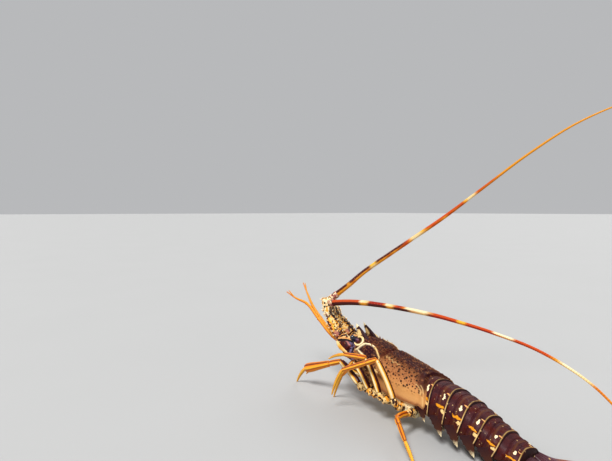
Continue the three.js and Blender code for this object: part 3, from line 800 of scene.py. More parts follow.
@dataclass(frozen=True)
class CarapaceFinish(ShellFinish):
    """Dark mottled back, dotted salmon flanks and a plain peach lower part."""

    name: str = "carapace shell"
    flank: str = "0 umber 0.05 umber 0.12 brown 0.21 tan 0.34 salmon 0.48 peach 0.62 apricot 0.74 clay"
    surface: ClassVar[Surface] = Surface(0.0, 0.14, 780.0, 240.0, 0.3, 0.4, 0.62)

    def paint(self, g: Graph) -> None:
        """Paints the flank, the dusky back with its flecks, the dots, and then the lines and the darker umber
        marks.
        """
        along, down = g.attribute("along"), g.attribute("round")
        g.base = g.ramp(g.drift(g.drift(down, 45, 0.045), 190, 0.035), stops(self.flank))
        front = g.span(g.drift(along, 60, 0.07), 0.3, 0.56, 1.0, 0.0)
        upper = g.times(front, g.span(down, 0.36, 0.5, 1.0, 0.0))
        dark = g.math("MAXIMUM", upper, g.span(down, 0.16, 0.05))
        g.over(Hue.PLUM, dark, g.patches(170, 0.56, 0.06), 0.85)
        g.over(Hue.PLUM, g.span(along, 0.9, 0.97), g.span(down, 0.42, 0.3), 0.8)
        g.over(Hue.TAN, upper, g.patches(270, 0.38, 0.05), 0.6)
        dotted = g.times(g.window(down, 0.03, 0.46, 0.05), g.window(along, 0.36, 0.97, 0.04))
        g.over(Hue.INK, dotted, g.dots(210, 0.39, 0.1), 0.95)
        g.over(Hue.MAROON, g.window(down, 0.02, 0.4, 0.08), g.dots(400, 0.4, 0.14), 0.6)
        g.over(Hue.TAN, g.span(down, 0.3, 0.16), g.patches(185, 0.4, 0.04), 0.7)
        g.over(Hue.MAROON, g.attribute("groove"), 0.6)
        # Darker umber band along the flank and dark patch in the sunk eye socket.
        g.over(Hue.UMBER, g.attribute("stain"), 0.75)
        low = g.span(g.drift(down, 120, 0.05), 0.44, 0.52)
        jaw = g.times(g.span(g.drift(along, 90, 0.08), 0.5, 0.32), low)
        g.over(Hue.BROWN, jaw, 0.6)
        g.over(Hue.PLUM, jaw, g.patches(170, 0.55, 0.06), 0.85)
        g.over(Hue.CREAM, jaw, g.patches(230, 0.36, 0.05), 0.7)
        g.over(g.mix(g.times(g.patches(210, 0.41, 0.05), 0.7), Hue.PLUM, Hue.TAN), g.attribute("cheek"))
        g.over(g.mix(g.span(along, 0.3, 0.34), Hue.IVORY, Hue.CREAM), g.attribute("line"))
        g.over(Hue.PEACH, g.grain.outputs["Worn"], 0.1)


@dataclass(frozen=True)
class MottledFinish(ShellFinish):
    """Patches of two colours over a third, for the head, the feeler stems and the leg roots."""

    ground: Hue
    patch: Hue
    light: Hue
    patch_share: float = 0.5
    light_share: float = 0.42
    scale: float = 130.0
    dots: tuple[float, float, float] = (300.0, 0.26, 0.7)
    marks: Marks = ()

    def paint(self, g: Graph) -> None:
        """Paints the patches, then the marks and the dots."""
        g.base = g.mix(g.patches(self.scale, self.patch_share, 0.045), self.ground, self.patch)
        g.over(self.light, g.patches(self.scale * 1.7, self.light_share, 0.04))
        uneven = g.drift(g.attribute("along"), 260, 0.08), g.drift(g.attribute("round"), 260, 0.07)
        for *mark, hue in self.marks:
            g.over(hue, g.oval(*uneven, *mark), 0.9)
        scale, size, strength = self.dots
        g.over(Hue.INK, g.freckles(scale, size, 0.08), strength)


@dataclass(frozen=True)
class StemFinish(ShellFinish):
    """Feeler stem: black above, yellow down its side, maroon and pink below, all broken into patches."""

    name: str = "feeler stem shell"
    girdle: str = (
        "0 ink 0.07 plum 0.14 amber 0.22 cream 0.36 yellow 0.44 orange 0.5 maroon 0.6 plum 0.72 rose 0.9 plum"
    )
    surface: ClassVar[Surface] = Surface(0.04, 0.22, 900.0, 320.0, 0.24, 0.34, 0.56)

    def paint(self, g: Graph) -> None:
        """Paints the colours round the stem, then patches, spots, the violet root and a rose mark."""
        along = g.drift(g.attribute("along"), 150, 0.06)
        g.base = g.ramp(g.drift(g.drift(g.attribute("round"), 70, 0.22), 210, 0.16), stops(self.girdle))
        g.over(Hue.CREAM, g.patches(190, 0.42, 0.03), 0.9)
        g.over(Hue.PLUM, g.patches(125, 0.46, 0.03), 0.95)
        g.over(Hue.INK, g.freckles(210, 0.34, 0.08), 0.95)
        g.over(Hue.VIOLET, g.span(along, 0.14, 0.08), 0.8)
        g.over(Hue.ROSE, g.oval(along, g.attribute("round"), 0.26, 0.46, 0.12, 0.2), 0.75)


@dataclass(frozen=True)
class RootFinish(ShellFinish):
    """Root of a feeler: plum and violet, crossed by a dark joint line under a pale lip."""

    name: str = "feeler root shell"
    slant: float = 0.88

    def paint(self, g: Graph) -> None:
        """Paints the mottled root, its slate and rose rear, and then the lip and the joint line."""
        turn = g.attribute("round")
        down = g.drift(turn, 240, 0.05)
        level = g.drift(g.math("SUBTRACT", g.attribute("along"), g.times(turn, self.slant)), 300, 0.04)
        g.base = g.mix(g.patches(200, 0.48, 0.05), Hue.PLUM, Hue.MAROON)
        g.over(Hue.TAN, g.patches(300, 0.38, 0.05), 0.8)
        rear = g.span(level, 0.3, 0.22)
        g.over(Hue.SLATE, g.span(down, 0.17, 0.11), rear, 0.9)
        g.over(Hue.ROSE, g.window(down, 0.16, 0.23, 0.02), rear, 0.8)
        g.over(g.mix(g.patches(190, 0.5, 0.04), Hue.PLUM, Hue.CREAM), g.span(level, 0.42, 0.46))
        g.over(Hue.PEACH, g.window(level, 0.36, 0.47, 0.02))
        g.over(Hue.INK, g.window(level, 0.25, 0.35, 0.02))


@dataclass(frozen=True)
class TaperFinish(ShellFinish):
    """Colours that change from the root of a thorn, plate or rim to its tip."""

    root: Hue
    middle: Hue
    tip: Hue
    turn: float = 0.45
    surface: ClassVar[Surface] = Surface(0.08, 0.3, 1400.0, 500.0, 0.12, 0.26, 0.46)

    def paint(self, g: Graph) -> None:
        """Paints the three colours."""
        colours = [(0.0, self.root), (self.turn, self.middle), (self.turn + 0.25, self.tip)]
        g.base = g.ramp(g.drift(g.attribute("along"), 420, 0.12), colours)


@dataclass(frozen=True)
class HornFinish(ShellFinish):
    """Dark plum horn with pale patches, a dark band and an ivory tip."""

    name: str = "horn shell"
    surface: ClassVar[Surface] = Surface(0.0, 0.25, 1100.0, 380.0, 0.2, 0.32, 0.55)

    def paint(self, g: Graph) -> None:
        """Paints the horn's edge and sides, then its blots, dark root, band and tip."""
        along, down = g.drift(g.attribute("along"), 240, 0.05), g.drift(g.attribute("round"), 220, 0.09)
        g.base = g.ramp(down, stops("0 ivory 0.12 cream 0.2 rust 0.3 plum"))
        g.over(Hue.SLOE, g.span(down, 0.6, 0.8))
        g.over(Hue.CREAM, g.patches(150, 0.56, 0.03), g.window(down, -0.2, 0.66, 0.06), 0.95)
        g.over(Hue.MAROON, g.patches(260, 0.36, 0.05), 0.85)
        g.over(Hue.PLUM, g.span(along, 0.52, 0.44), 0.9)
        g.over(Hue.PLUM, g.window(along, 0.74, 0.84, 0.02))
        g.over(Hue.IVORY, g.span(along, 0.83, 0.87))


@dataclass(frozen=True)
class TergiteFinish(ShellFinish):
    """Plum rings of the tail with one thin pale cross line and white side spots."""

    name: str = "abdomen shell"
    marks: Marks = (
        (0.68, 0.235, 0.065, 0.05, Hue.IVORY),
        (0.62, 0.39, 0.26, 0.022, Hue.AMBER),
        (0.8, 0.45, 0.12, 0.03, Hue.CREAM),
        (0.84, 0.16, 0.1, 0.014, Hue.PEACH),
    )
    surface: ClassVar[Surface] = Surface(0.02, 0.18, 950.0, 300.0, 0.2, 0.34, 0.56)

    def paint(self, g: Graph) -> None:
        """Paints the clouded ground, the hairy band, the low side, the cross line, and the marks and dots."""
        along, down = g.attribute("along"), g.attribute("round")
        g.base = g.ramp(g.noise(110, 4), stops("0.3 plum 0.5 wine 0.62 maroon 0.78 umber"))
        g.over(Hue.CHESTNUT, g.span(g.noise(700), 0.5, 0.75), 0.45)
        g.over(Hue.BROWN, g.window(g.drift(along, 260, 0.02), 0.5, 0.6, 0.03), 0.55)
        g.over(Hue.UMBER, g.span(g.drift(down, 120, 0.05), 0.46, 0.62), 0.5)
        line = g.window(g.drift(along, 300, 0.012), 0.895, 0.945, 0.015)
        fade = g.span(g.noise(160), 0.3, 0.55, 0.45, 0.95)
        g.over(g.mix(g.span(down, 0.2, 0.5), Hue.OLIVE, Hue.CREAM), line, fade)
        g.over(Hue.INK, g.window(along, 0.97, 1.2, 0.012), 0.7)
        uneven = g.drift(g.drift(along, 150, 0.1), 420, 0.08), g.drift(g.drift(down, 130, 0.035), 380, 0.025)
        for *mark, hue in self.marks:
            g.over(hue, g.oval(*uneven, *mark))
        g.over(Hue.CREAM, g.freckles(240, 0.17, 0.05), 0.6)


@dataclass(frozen=True)
class LegFinish(ShellFinish):
    """A limb with lengthwise stripes: colours by place round it, and darker joints."""

    stripes: str
    joint: Hue = Hue.RUST
    blush: Hue = Hue.FLAME
    blush_share: float = 0.34
    surface: ClassVar[Surface] = Surface(0.12, 0.3, 1100.0, 350.0, 0.13, 0.24, 0.44)

    def paint(self, g: Graph) -> None:
        """Paints the stripes, the joints and a blush."""
        g.base = g.ramp(g.drift(g.attribute("round"), 130, 0.04), stops(self.stripes))
        middle = g.window(g.drift(g.attribute("along"), 140, 0.03), 0.1, 0.9, 0.05)
        g.over(self.joint, g.math("SUBTRACT", 1.0, middle), 0.55)
        g.over(self.blush, g.patches(140, self.blush_share, 0.12), 0.4)


@dataclass(frozen=True)
class WhipFinish(ShellFinish):
    """A ringed feeler. Its bands are given by distance from the root, above and below, and along a fringe;
    over the feeler's own bands, the upper, lower and fringe colours also hold painted light and painted
    shade.
    """

    length: float
    above: str
    below: str
    fringe: str = ""
    turn: Pair = (0.34, 0.5)
    surface: ClassVar[Surface] = Surface(0.05, 0.2, 1300.0, 420.0, 0.1, 0.26, 0.44)

    def paint(self, g: Graph) -> None:
        """Paints the bands of the upper side, the underside and the fringe, with their painted light and
        shade, and then the rings.
        """
        along, down = g.drift(g.attribute("along"), 120, 0.004), g.drift(g.attribute("round"), 200, 0.05)
        texts = [text for text in (self.above, self.below, self.fringe) if text]
        bands = [g.ramp(along, stops(text, self.length)) for text in texts]
        # The split between upper and lower colours carries painted light and painted shade as well as the
        # feeler's own colours.
        g.base = g.mix(g.span(down, *self.turn), *bands[:2])
        # The fringe colours on the lower side are painted brighter than the edge's own orange, to make up for
        # the shade that falls there: painted light.
        for fringe in bands[2:]:
            g.over(fringe, g.span(down, 0.4, 0.56))
        wave = g.math("SINE", g.times(g.attribute("along"), self.length / ANNULUS * TAU))
        g.over(Hue.MAROON, g.span(wave, 0.55, 1.0, 0.0, 0.3))


@dataclass(frozen=True)
class FanFinish(ShellFinish):
    """Tail fan: plum at the root, orange and horny towards its pale edge, with fine rays."""

    name: str = "tail fan"
    surface: ClassVar[Surface] = Surface(0.1, 0.3, 1000.0, 300.0, 0.16, 0.28, 0.5)

    def paint(self, g: Graph) -> None:
        """Paints the colours from root to edge, the rays and the pale dots."""
        along = g.drift(g.attribute("along"), 90, 0.05)
        g.base = g.ramp(along, stops("0 plum 0.35 mulberry 0.5 rust 0.8 flame 0.97 cream"))
        g.over(Hue.MAROON, g.span(along, 0.45, 0.6), g.attribute("ray"), 0.5)
        g.over(Hue.CREAM, g.freckles(130, 0.2, 0.06), 0.55)


@dataclass(frozen=True)
class EyeFinish:
    """Blue-black eye with fine facets, clouded with a painted sheen of steel blue."""

    name: str = "eye cornea"

    def material(self) -> Material:
        """Builds the material."""
        g = Graph.material(self.name, 1.0, 0.5)
        # Painted sheen: steel-blue clouds over the blue-black eye, standing in for its glossy reflection.
        g.base = g.mix(g.times(g.span(g.noise(120, 2), 0.35, 0.7), 0.6), Hue.MIDNIGHT, Hue.PAINTED_SHEEN)
        facets = g.node("ShaderNodeTexVoronoi", {"Vector": g.position, "Scale": 3200.0})
        g.relief(g.span(facets.outputs["Distance"], 0.0, 0.6, 1.0, 0.0), 0.03)
        return g.done(g.span(g.noise(600, 2), 0.3, 0.7, 0.08, 0.2))


class Finish(Enum):
    """Every finish on the model, built once when first asked for."""

    CARAPACE = CarapaceFinish()
    HORN = HornFinish()
    HEAD = MottledFinish("head shell", Hue.PLUM, Hue.INK, Hue.SLATE, 0.45, 0.48)
    ROOT = RootFinish()
    EPISTOME = TaperFinish("pale edge shell", Hue.CREAM, Hue.AMBER, Hue.CREAM)
    MEMBRANE = TaperFinish("joint skin", Hue.INK, Hue.MAROON, Hue.INK, 0.5)
    STEM = StemFinish()
    KNOB = MottledFinish(
        "feeler knob shell", Hue.GOLD, Hue.MAROON, Hue.IVORY, 0.42, 0.57, 130.0, (230.0, 0.44, 0.95),
        (
            (0.45, 0.3, 0.1, 0.06, Hue.GOLD),
            (0.34, 0.1, 0.18, 0.1, Hue.PLUM),
            (0.2, 0.42, 0.13, 0.08, Hue.ROSE),
            (0.66, 0.12, 0.07, 0.07, Hue.ROSE),
        ),
    )
    COLLAR = MottledFinish("feeler collar shell", Hue.ROSE, Hue.MAROON, Hue.IVORY, 0.45, 0.46, 170.0)
    COXA = MottledFinish(
        "leg root shell", Hue.CREAM, Hue.GOLD, Hue.PLUM, 0.46, 0.475, 130.0, (230.0, 0.3, 0.9)
    )
    STERNUM = MottledFinish("sternum shell", Hue.CREAM, Hue.SALMON, Hue.IVORY, 0.45, 0.5, 60.0)
    TERGITE = TergiteFinish()
    PLEURON = TaperFinish("side plate shell", Hue.PLUM, Hue.UMBER, Hue.IVORY, 0.66)
    SPINE = TaperFinish("shell thorn", Hue.UMBER, Hue.ORANGE, Hue.IVORY, 0.55)
    DARK_SPINE = TaperFinish("shield thorn", Hue.UMBER, Hue.RUST, Hue.PEACH, 0.6)
    WHITE_SPINE = TaperFinish("stem thorn", Hue.PLUM, Hue.AMBER, Hue.IVORY, 0.3)
    ORBIT = TaperFinish("orbit rim", Hue.CREAM, Hue.IVORY, Hue.CREAM, 0.5)
    MERUS = LegFinish(
        "leg thigh shell",
        "0 plum 0.15 maroon 0.21 amber 0.29 yellow 0.36 ivory 0.46 ivory 0.54 cream 0.66 amber "
        "0.78 maroon 0.9 cream",
        Hue.ORANGE,
        Hue.AMBER,
    )
    BANDED_MERUS = LegFinish(
        "front thigh shell",
        "0 plum 0.22 maroon 0.28 amber 0.35 yellow 0.42 ivory 0.5 ivory 0.58 yellow 0.65 maroon "
        "0.84 plum 0.93 cream",
        Hue.MAROON,
        Hue.AMBER,
    )
    SHANK = LegFinish(
        "leg shank shell",
        "0 amber 0.13 orange 0.22 rust 0.29 maroon 0.34 orange 0.43 gold 0.53 yellow 0.6 rust "
        "0.67 orange 0.9 amber",
        Hue.ORANGE,
    )
    DACTYL = LegFinish(
        "leg tip shell",
        "0 yellow 0.3 gold 0.38 orange 0.46 yellow 1 amber",
        Hue.AMBER,
        Hue.ORANGE,
        0.3,
    )
    BRISTLE = TaperFinish("bristle", Hue.RUST, Hue.TAN, Hue.TAN, 0.4)
    ANTENNULE = LegFinish(
        "antennule shell",
        "0 amber 0.3 amber 0.5 orange 0.75 flame 1 orange",
        Hue.ORANGE,
    )
    FAN = FanFinish()
    EYE = EyeFinish()
    EYE_STALK = TaperFinish("eye stalk", Hue.RUST, Hue.VIOLET, Hue.MIDNIGHT, 0.4)
    # Left whip: the cream and ivory bands are its own; the flame upper side is partly a painted highlight and
    # the maroon underside partly painted shade.
    WHIP_LEFT = WhipFinish(
        "left whip",
        440.8,
        "0 flame 69 flame 76 ivory 91 cream 97 scarlet 124 scarlet 129 orange 133 ivory 145 cream "
        "152 flame 160 scarlet 167 orange 173 ivory 206 ivory 214 peach 222 flame 253 flame 257 yellow "
        "265 yellow 270 flame 300 flame 305 ivory 324 ivory 329 flame 362 flame 370 amber 377 ivory "
        "402 cream 407 orange 440 amber",
        "0 maroon 71 maroon 78 amber 88 amber 96 maroon 131 maroon 137 amber 143 amber 151 maroon "
        "174 maroon 183 peach 205 cream 213 rust 222 scarlet 253 scarlet 258 amber 265 amber "
        "271 scarlet 301 scarlet 308 orange 322 peach 330 scarlet 362 flame 372 amber 380 cream "
        "401 cream 407 orange 440 orange",
    )
    # Right whip: dark above and orange and cream below in its own colour; the underside and fringe colours
    # are painted brighter than that to make up for shade, which is painted light.
    WHIP_RIGHT = WhipFinish(
        "right whip",
        502.5,
        "0 maroon 60 maroon 67 tan 72 cream 79 cream 84 tan 140 tan 150 cream 162 yellow 176 flame "
        "240 flame 245 cream 257 cream 263 orange 500 amber",
        "0 maroon 22 maroon 25 amber 29 maroon 68 maroon 72 yellow 79 yellow 83 maroon 130 maroon "
        "142 flame 149 cream 161 cream 167 yellow 176 flame 238 flame 244 yellow 249 cream 258 cream "
        "264 flame 290 flame 305 amber 500 amber",
        "0 gold 28 gold 34 orange 41 gold 60 gold 66 orange 71 cream 79 cream 85 amber 95 gold "
        "104 orange 115 gold 123 orange 138 flame 145 gold 151 ivory 164 cream 176 amber 185 flame "
        "199 orange 206 gold 213 flame 226 orange 238 flame 244 gold 249 ivory 258 cream 265 orange "
        "320 amber 500 gold",
        (0.1, 0.18),
    )

    def material(self) -> Material:
        """The finish's material, made on the first call."""
        return bpy.data.materials.get(self.value.name) or self.value.material()


# Pieces


def dressed(name: str, mesh: Mesh, finish: Finish, slot: Slot, *nodes: str) -> None:
    """Makes a piece of a mesh, dresses it and ties it to the frame.

    Args:
        name: Name of the piece.
        mesh: Finished mesh.
        finish: Its finish.
        slot: The record's slot that the finish belongs to; not used.
        nodes: CAD nodes that the piece stands for.
    """
    piece = new_object(name, mesh)
    mesh.materials.append(finish.material())
    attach(piece, ROOT_BODY)
    if nodes:
        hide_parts(*nodes)
    log.info("%s: %d faces, stands for %s", name, len(mesh.polygons), nodes or "no node")


def skin(
    name: str, faces: tuple[int, int], place: Placer, finish: Finish, slot: Slot, *nodes: str, **marks: Placer
) -> None:
    """Makes a closed skin, of some faces along and round it, and dresses it; the rest is as in skin_mesh."""
    dressed(name, skin_mesh(*faces, place, marks), finish, slot, *nodes)


class Thorn:
    """Places copies of one small hooked cone."""

    RINGS = 5
    RADIAL = 8
    TAPER = 1.15
    HOOK = 0.5
    LEAN = 0.55
    SUNK = 0.7

    def __init__(self) -> None:
        """Makes the cone, of height and root radius one."""

        def cone(t: Array, angle: Array) -> Array:
            """Points of the cone."""
            radius = np.clip(1 - t, 0, 1) ** self.TAPER
            return np.stack([np.cos(angle) * radius + self.HOOK * t**2, np.sin(angle) * radius, t], axis=-1)

        self.template = skin_mesh(self.RINGS, self.RADIAL, cone)
        home = Matrix.Translation(-Vector(PLACE.metres(np.zeros(3))))
        self.template.transform(Matrix.Scale(1 / MM, 4) @ home)
        self.bm = bmesh.new()
        self.count = 0

    def add(self, root: Array, out: Array, lean: Array, length: float, width: float) -> None:
        """Adds one thorn.

        Args:
            root: Place on the surface.
            out: Direction out of the surface.
            lean: Direction that the thorn hooks towards.
            length: Height of the thorn.
            width: Radius of its root.
        """
        up = unit(out + self.LEAN * lean)
        sideways = unit(np.cross(up, lean) + 1e-6)
        forward = np.cross(sideways, up)
        old = len(self.bm.verts)
        self.bm.from_mesh(self.template)
        self.bm.verts.ensure_lookup_table()
        place = Vector(PLACE.metres(root - out * width * self.SUNK))
        rows = [[forward[k] * width, sideways[k] * width, up[k] * length, 0] for k in range(3)]
        turn = Matrix(rows + [[0, 0, 0, 1]])
        matrix = Matrix.Translation(place) @ Matrix.Scale(MM, 4) @ turn
        bmesh.ops.transform(self.bm, matrix=matrix, verts=self.bm.verts[old:])
        self.count += 1

    def on(self, limb: Limb, at: float, degrees: float, length: float, width: float) -> None:
        """Adds one thorn at a place on a limb, hooked towards the limb's end."""
        self.add(*limb.surface(at, degrees), limb.axes()[0], length, width)

    def take(self, name: str, finish: Finish, slot: Slot) -> None:
        """Makes one piece of the thorns added since the last call.

        Args:
            name: Name of the piece.
            finish: Its finish.
            slot: The record's slot that the finish belongs to.
        """
        mesh = bpy.data.meshes.new(name)
        bmesh.ops.recalc_face_normals(self.bm, faces=self.bm.faces)
        self.bm.to_mesh(mesh)
        self.bm.free()
        self.bm = bmesh.new()
        dressed(name, mesh, finish, slot)


# Trunk


class Section:
    """Cross section of the trunk, round above and flatter below."""

    WIDEST = 0.4
    FLANK = 0.92
    SQUARENESS = 0.32
    FLATTENING = 1.16

    @classmethod
    def even(cls, angle: Array) -> Array:
        """Angle that spaces points evenly down the flank and under the belly.

        Args:
            angle: Even angles.

        Returns:
            Angles of the section's curve.
        """
        turn = descent(angle)
        corner = (1 / cls.FLATTENING) ** (1 / cls.SQUARENESS)
        wall = np.clip((turn - 0.5) / 0.25, 0, 1)
        floor = np.clip((turn - 0.75) / 0.25, 0, 1)
        drop = np.where(turn <= 0.75, (wall / cls.FLATTENING) ** (1 / cls.SQUARENESS), 0)
        drop = np.where(turn > 0.75, corner + (1 - corner) * np.sin(floor * math.pi / 2), drop)
        warped = np.where(turn <= 0.5, turn * math.pi, np.arccos(np.clip(-drop, -1, 1)))
        return np.where(angle <= math.pi, warped, TAU - warped)

    @classmethod
    def rise(cls, angle: Array, above: Array, below: Array) -> Array:
        """Height over the widest place, from the section's reach above and below it."""
        up = np.cos(angle)
        flat = np.maximum(-1, cls.FLATTENING * boxed(up, cls.SQUARENESS))
        return np.where(up > 0, above * up, below * flat)

    @classmethod
    def trunk(cls, sections: Table, x: Array, angle: Array, grow: Array | float = 0.0) -> Array:
        """Points of a trunk section across X.

        Args:
            sections: Rows of place, top, lower margin and half width.
            x: Places along the body.
            angle: Evened angles, 0 above.
            grow: Distance outside the section.

        Returns:
            Points in the model's frame.
        """
        top, belly, half = columns(sections, x)
        middle = belly + (top - belly) * cls.WIDEST
        rise = cls.rise(angle, top - middle + grow, middle - belly + grow)
        return np.stack([x, boxed(np.sin(angle), cls.FLANK) * (half + grow), middle + rise], axis=-1)


@dataclass
class Carapace:
    """Shield of the head and thorax with its horns and rows of thorns."""

    length: float = 118
    sections: Table = (
        (-118, 92.5, 62, 20), (-113, 95, 58, 23), (-103, 96, 53, 26.5), (-90, 94.6, 47.6, 29),
        (-77, 91.6, 42.2, 30.8), (-69, 88.4, 38.9, 31.2), (-63, 86.2, 38, 31.2), (-56, 86.6, 38, 32.4),
        (-42, 84, 38, 33.4), (-26, 80, 38, 33.4), (-12, 75.4, 38, 32.4), (-5, 73, 38, 31.8),
        (0, 71, 38, 31.2),
    )
    rows: Table = (
        (-98, -70, 26, 30, 5, 5.6), (-100, -76, 47, 50, 5, 3.0), (-110, -84, 78, 80, 4, 4.6),
        (-88, -66, 10, 12, 4, 3.2), (-104, -70, 37, 40, 7, 2.2), (-84, -66, 20, 22, 4, 2.2),
        (-55, -10, 9, 14, 8, 3.3), (-53, -8, 30, 36, 9, 2.2), (-52, -12, 54, 58, 9, 1.6),
        (-56, -9, 20, 25, 11, 1.7), (-54, -10, 42, 47, 10, 1.4), (-58, -10, 3, 4, 9, 1.7),
    )
    crest: Table = ((-112, 3.4), (-106, 2.6), (-99, 2.2), (-92, 2.0))
    bow: float = 17.0
    half_girth: float = 110.0
    cross_groove: Table = ((0, -63), (0.2, -66), (0.4, -78), (0.6, -97), (1, -100))
    arch: Table = (
        (-112, 0.4), (-108.8, 0.375), (-102.6, 0.291), (-97.3, 0.205), (-89.9, 0.162), (-81.6, 0.155),
        (-73.9, 0.175), (-66.5, 0.228), (-61, 0.3),
    )
    keel: Table = ((-104, 0.372), (-93, 0.378), (-80.7, 0.392), (-73, 0.428), (-61, 0.44))
    zigzag: Table = (
        (-57, 0.15), (-55, 0.182), (-51, 0.158), (-50, 0.19), (-45, 0.166), (-42, 0.198), (-40, 0.168),
        (-34, 0.184), (-32, 0.164),
    )
    rear_arcs: tuple[Table, ...] = (
        ((-9, 0.31), (-5.5, 0.34), (-4, 0.39), (-5, 0.44)),
        ((-4, 0.29), (-1.5, 0.33), (-1.2, 0.4)),
        ((-2.5, 0.47), (-2, 0.6), (-2.5, 0.69)),
    )
    smear: Table = ((-58, 0.47), (-50, 0.485), (-42, 0.5))
    socket: Table = ((-112, 0.2), (-108, 0.2))
    socket_bed: Table = ((-113, 0.2), (-108, 0.2))
    horn_ends: tuple[Point, Point] = ((-101, 9.5, 83), (-128.5, 7.6, 111))
    horn_normal: Point = (0.2, 1, 0)
    teeth: Table = ((0.3, 5.0), (0.46, 4.8), (0.61, 4.2), (0.75, 3.4), (0.87, 2.4))
    side_teeth: Table = ((0.42, -0.3), (0.58, 0.15), (0.72, -0.2))

    def shell(self, x: Array, angle: Array, grow: Array | float = 0.0) -> Array:
        """Points of the shield, its rear margin bowed back at the flanks.

        Args:
            x: Places along the body.
            angle: Evened angles.
            grow: Distance outside the plain form.

        Returns:
            Points in the model's frame.
        """
        points = Section.trunk(self.sections, x, angle, grow)
        points[:, 0] += self.bow * step(-32, 0, x) * (np.abs(points[:, 1]) / 30) ** 1.6
        return points

    def spread(self, t: Array, angle: Array) -> tuple[Array, Array]:
        """Place along the body and share of the way down."""
        return -self.length + self.length * t, descent(angle)

    def trail(self, line: Table, t: Array, angle: Array) -> Array:
        """Distance from a line drawn on the shield.

        Args:
            line: Corners of the line, as place along the body and share of the way down.
            t: Places along the shield.
            angle: Angles round it.

        Returns:
            Distances in millimetres.
        """
        x, down = self.spread(t, angle)
        here = np.stack([x, self.half_girth * down], axis=-1)
        corners = np.array(line) * vec(1, self.half_girth)
        nearest = np.full(len(here), 1e9)
        for start, end in itertools.pairwise(corners):
            run = end - start
            share = np.clip((here - start) @ run / (run @ run), 0, 1)
            nearest = np.minimum(nearest, np.linalg.norm(here - start - share[:, None] * run, axis=1))
        return nearest

    def groove(self, t: Array, angle: Array) -> Array:
        """Depth from 0 to 1 of the cross groove behind the head."""
        x, down = self.spread(t, angle)
        return bell(x - columns(self.cross_groove, down)[0], 2.6) * step(0.68, 0.5, down)

    def relief(self, t: Array, angle: Array) -> Array:
        """Height of the shield's relief over its plain form."""
        x, down = self.spread(t, angle)
        plain = self.shell(x, Section.even(angle))
        upper = step(0.62, 0.3, down)
        lift = -1.9 * self.groove(t, angle)
        lift += -1.1 * bell(x + 7, 1.7) * step(0.8, 0.7, down) + 0.6 * bell(x + 2, 2.2)
        lift += 0.7 * bell(x + 116.5, 1.6) + 0.8 * bell(down - 0.735, 0.018)
        for line, height, width in ((self.arch, 1.5, 1.3), (self.keel, 0.9, 1.5), (self.zigzag, 0.4, 0.9)):
            lift += height * bell(self.trail(line, t, angle), width)
        lift -= 1.6 * step(7.0, 4.0, self.trail(self.socket_bed, t, angle))
        lift += 0.7 * bell(down - 0.09, 0.035) * step(-61, -52, x)
        lift -= 0.8 * bell(down, 0.03) * step(-61, -50, x)
        lift += 0.5 * ripple(plain, 26) * upper
        lift += (0.5 * upper + 0.1) * granules(plain, 3.4, 2.0)
        return lift + 0.2 * upper * granules(plain, 1.7, 9.0)

    def place(self, t: Array, angle: Array) -> Array:
        """Points of the finished shield."""
        return self.shell(self.spread(t, angle)[0], Section.even(angle), self.relief(t, angle))

    def lay(self, t: Array, angle: Array) -> Array:
        """The shield laid flat, in millimetres."""
        x, down = self.spread(t, angle)
        run = self.shell(x, Section.even(angle))[:, 0]
        girth = np.interp(down, [0, 0.25, 0.5, 0.75, 1], [0, 24, 45, 73, 105])
        return np.stack([run + 60 * (angle > math.pi), girth, np.zeros_like(t)], axis=-1)

    def cheek(self, t: Array, angle: Array) -> Array:
        """Dark panel below the arched ridge, from 0 to 1."""
        x, down = self.spread(t, angle)
        top = columns(self.arch, x)[0]
        inside = step(top + 0.005, top + 0.03, down) * step(0.395, 0.37, down)
        return inside * step(-108, -103, x) * step(-66, -71, x)

    def stain(self, t: Array, angle: Array) -> Array:
        """Darker umber band along the flank and dark patch in the eye's socket, from 0 to 1."""
        socket = step(7.5, 5.5, self.trail(self.socket, t, angle))
        return np.clip(bell(self.trail(self.smear, t, angle), 3.4) + socket, 0, 1)

    def line(self, t: Array, angle: Array) -> Array:
        """Pale lines: the arched ridge, the keel of the flank, a zigzag and the arcs by the rear margin."""
        x, down = self.spread(t, angle)
        arch = 1.4 * bell(self.trail(self.arch, t, angle), 1.6)
        arch *= step(-0.012, 0.002, down - columns(self.arch, x)[0])
        keel = 1.4 * bell(self.trail(self.keel, t, angle), 1.6)
        jags = bell(self.trail(self.zigzag, t, angle), 0.6)
        arcs = [bell(self.trail(line, t, angle), 0.9) for line in self.rear_arcs]
        rim = 0.35 * bell(down - 0.735, 0.014)
        return np.clip(arch + keel + 0.5 * jags + 0.5 * sum(arcs) + rim, 0, 1)

    def surface(self, x: float, degrees: float) -> tuple[Array, Array]:
        """A point on the shield and the direction out of it.

        Args:
            x: Place along the body.
            degrees: Angle from the crest.

        Returns:
            The point and the outward direction.
        """
        angle = math.radians(degrees)
        points = self.shell(vec(x, x - 0.5, x + 0.5, x, x), angle + vec(0, 0, 0, -0.04, 0.04))
        out = unit(np.cross(points[2] - points[1], points[4] - points[3]))
        return points[0], -out if out @ (points[0] - vec(x, 0, 60)) < 0 else out

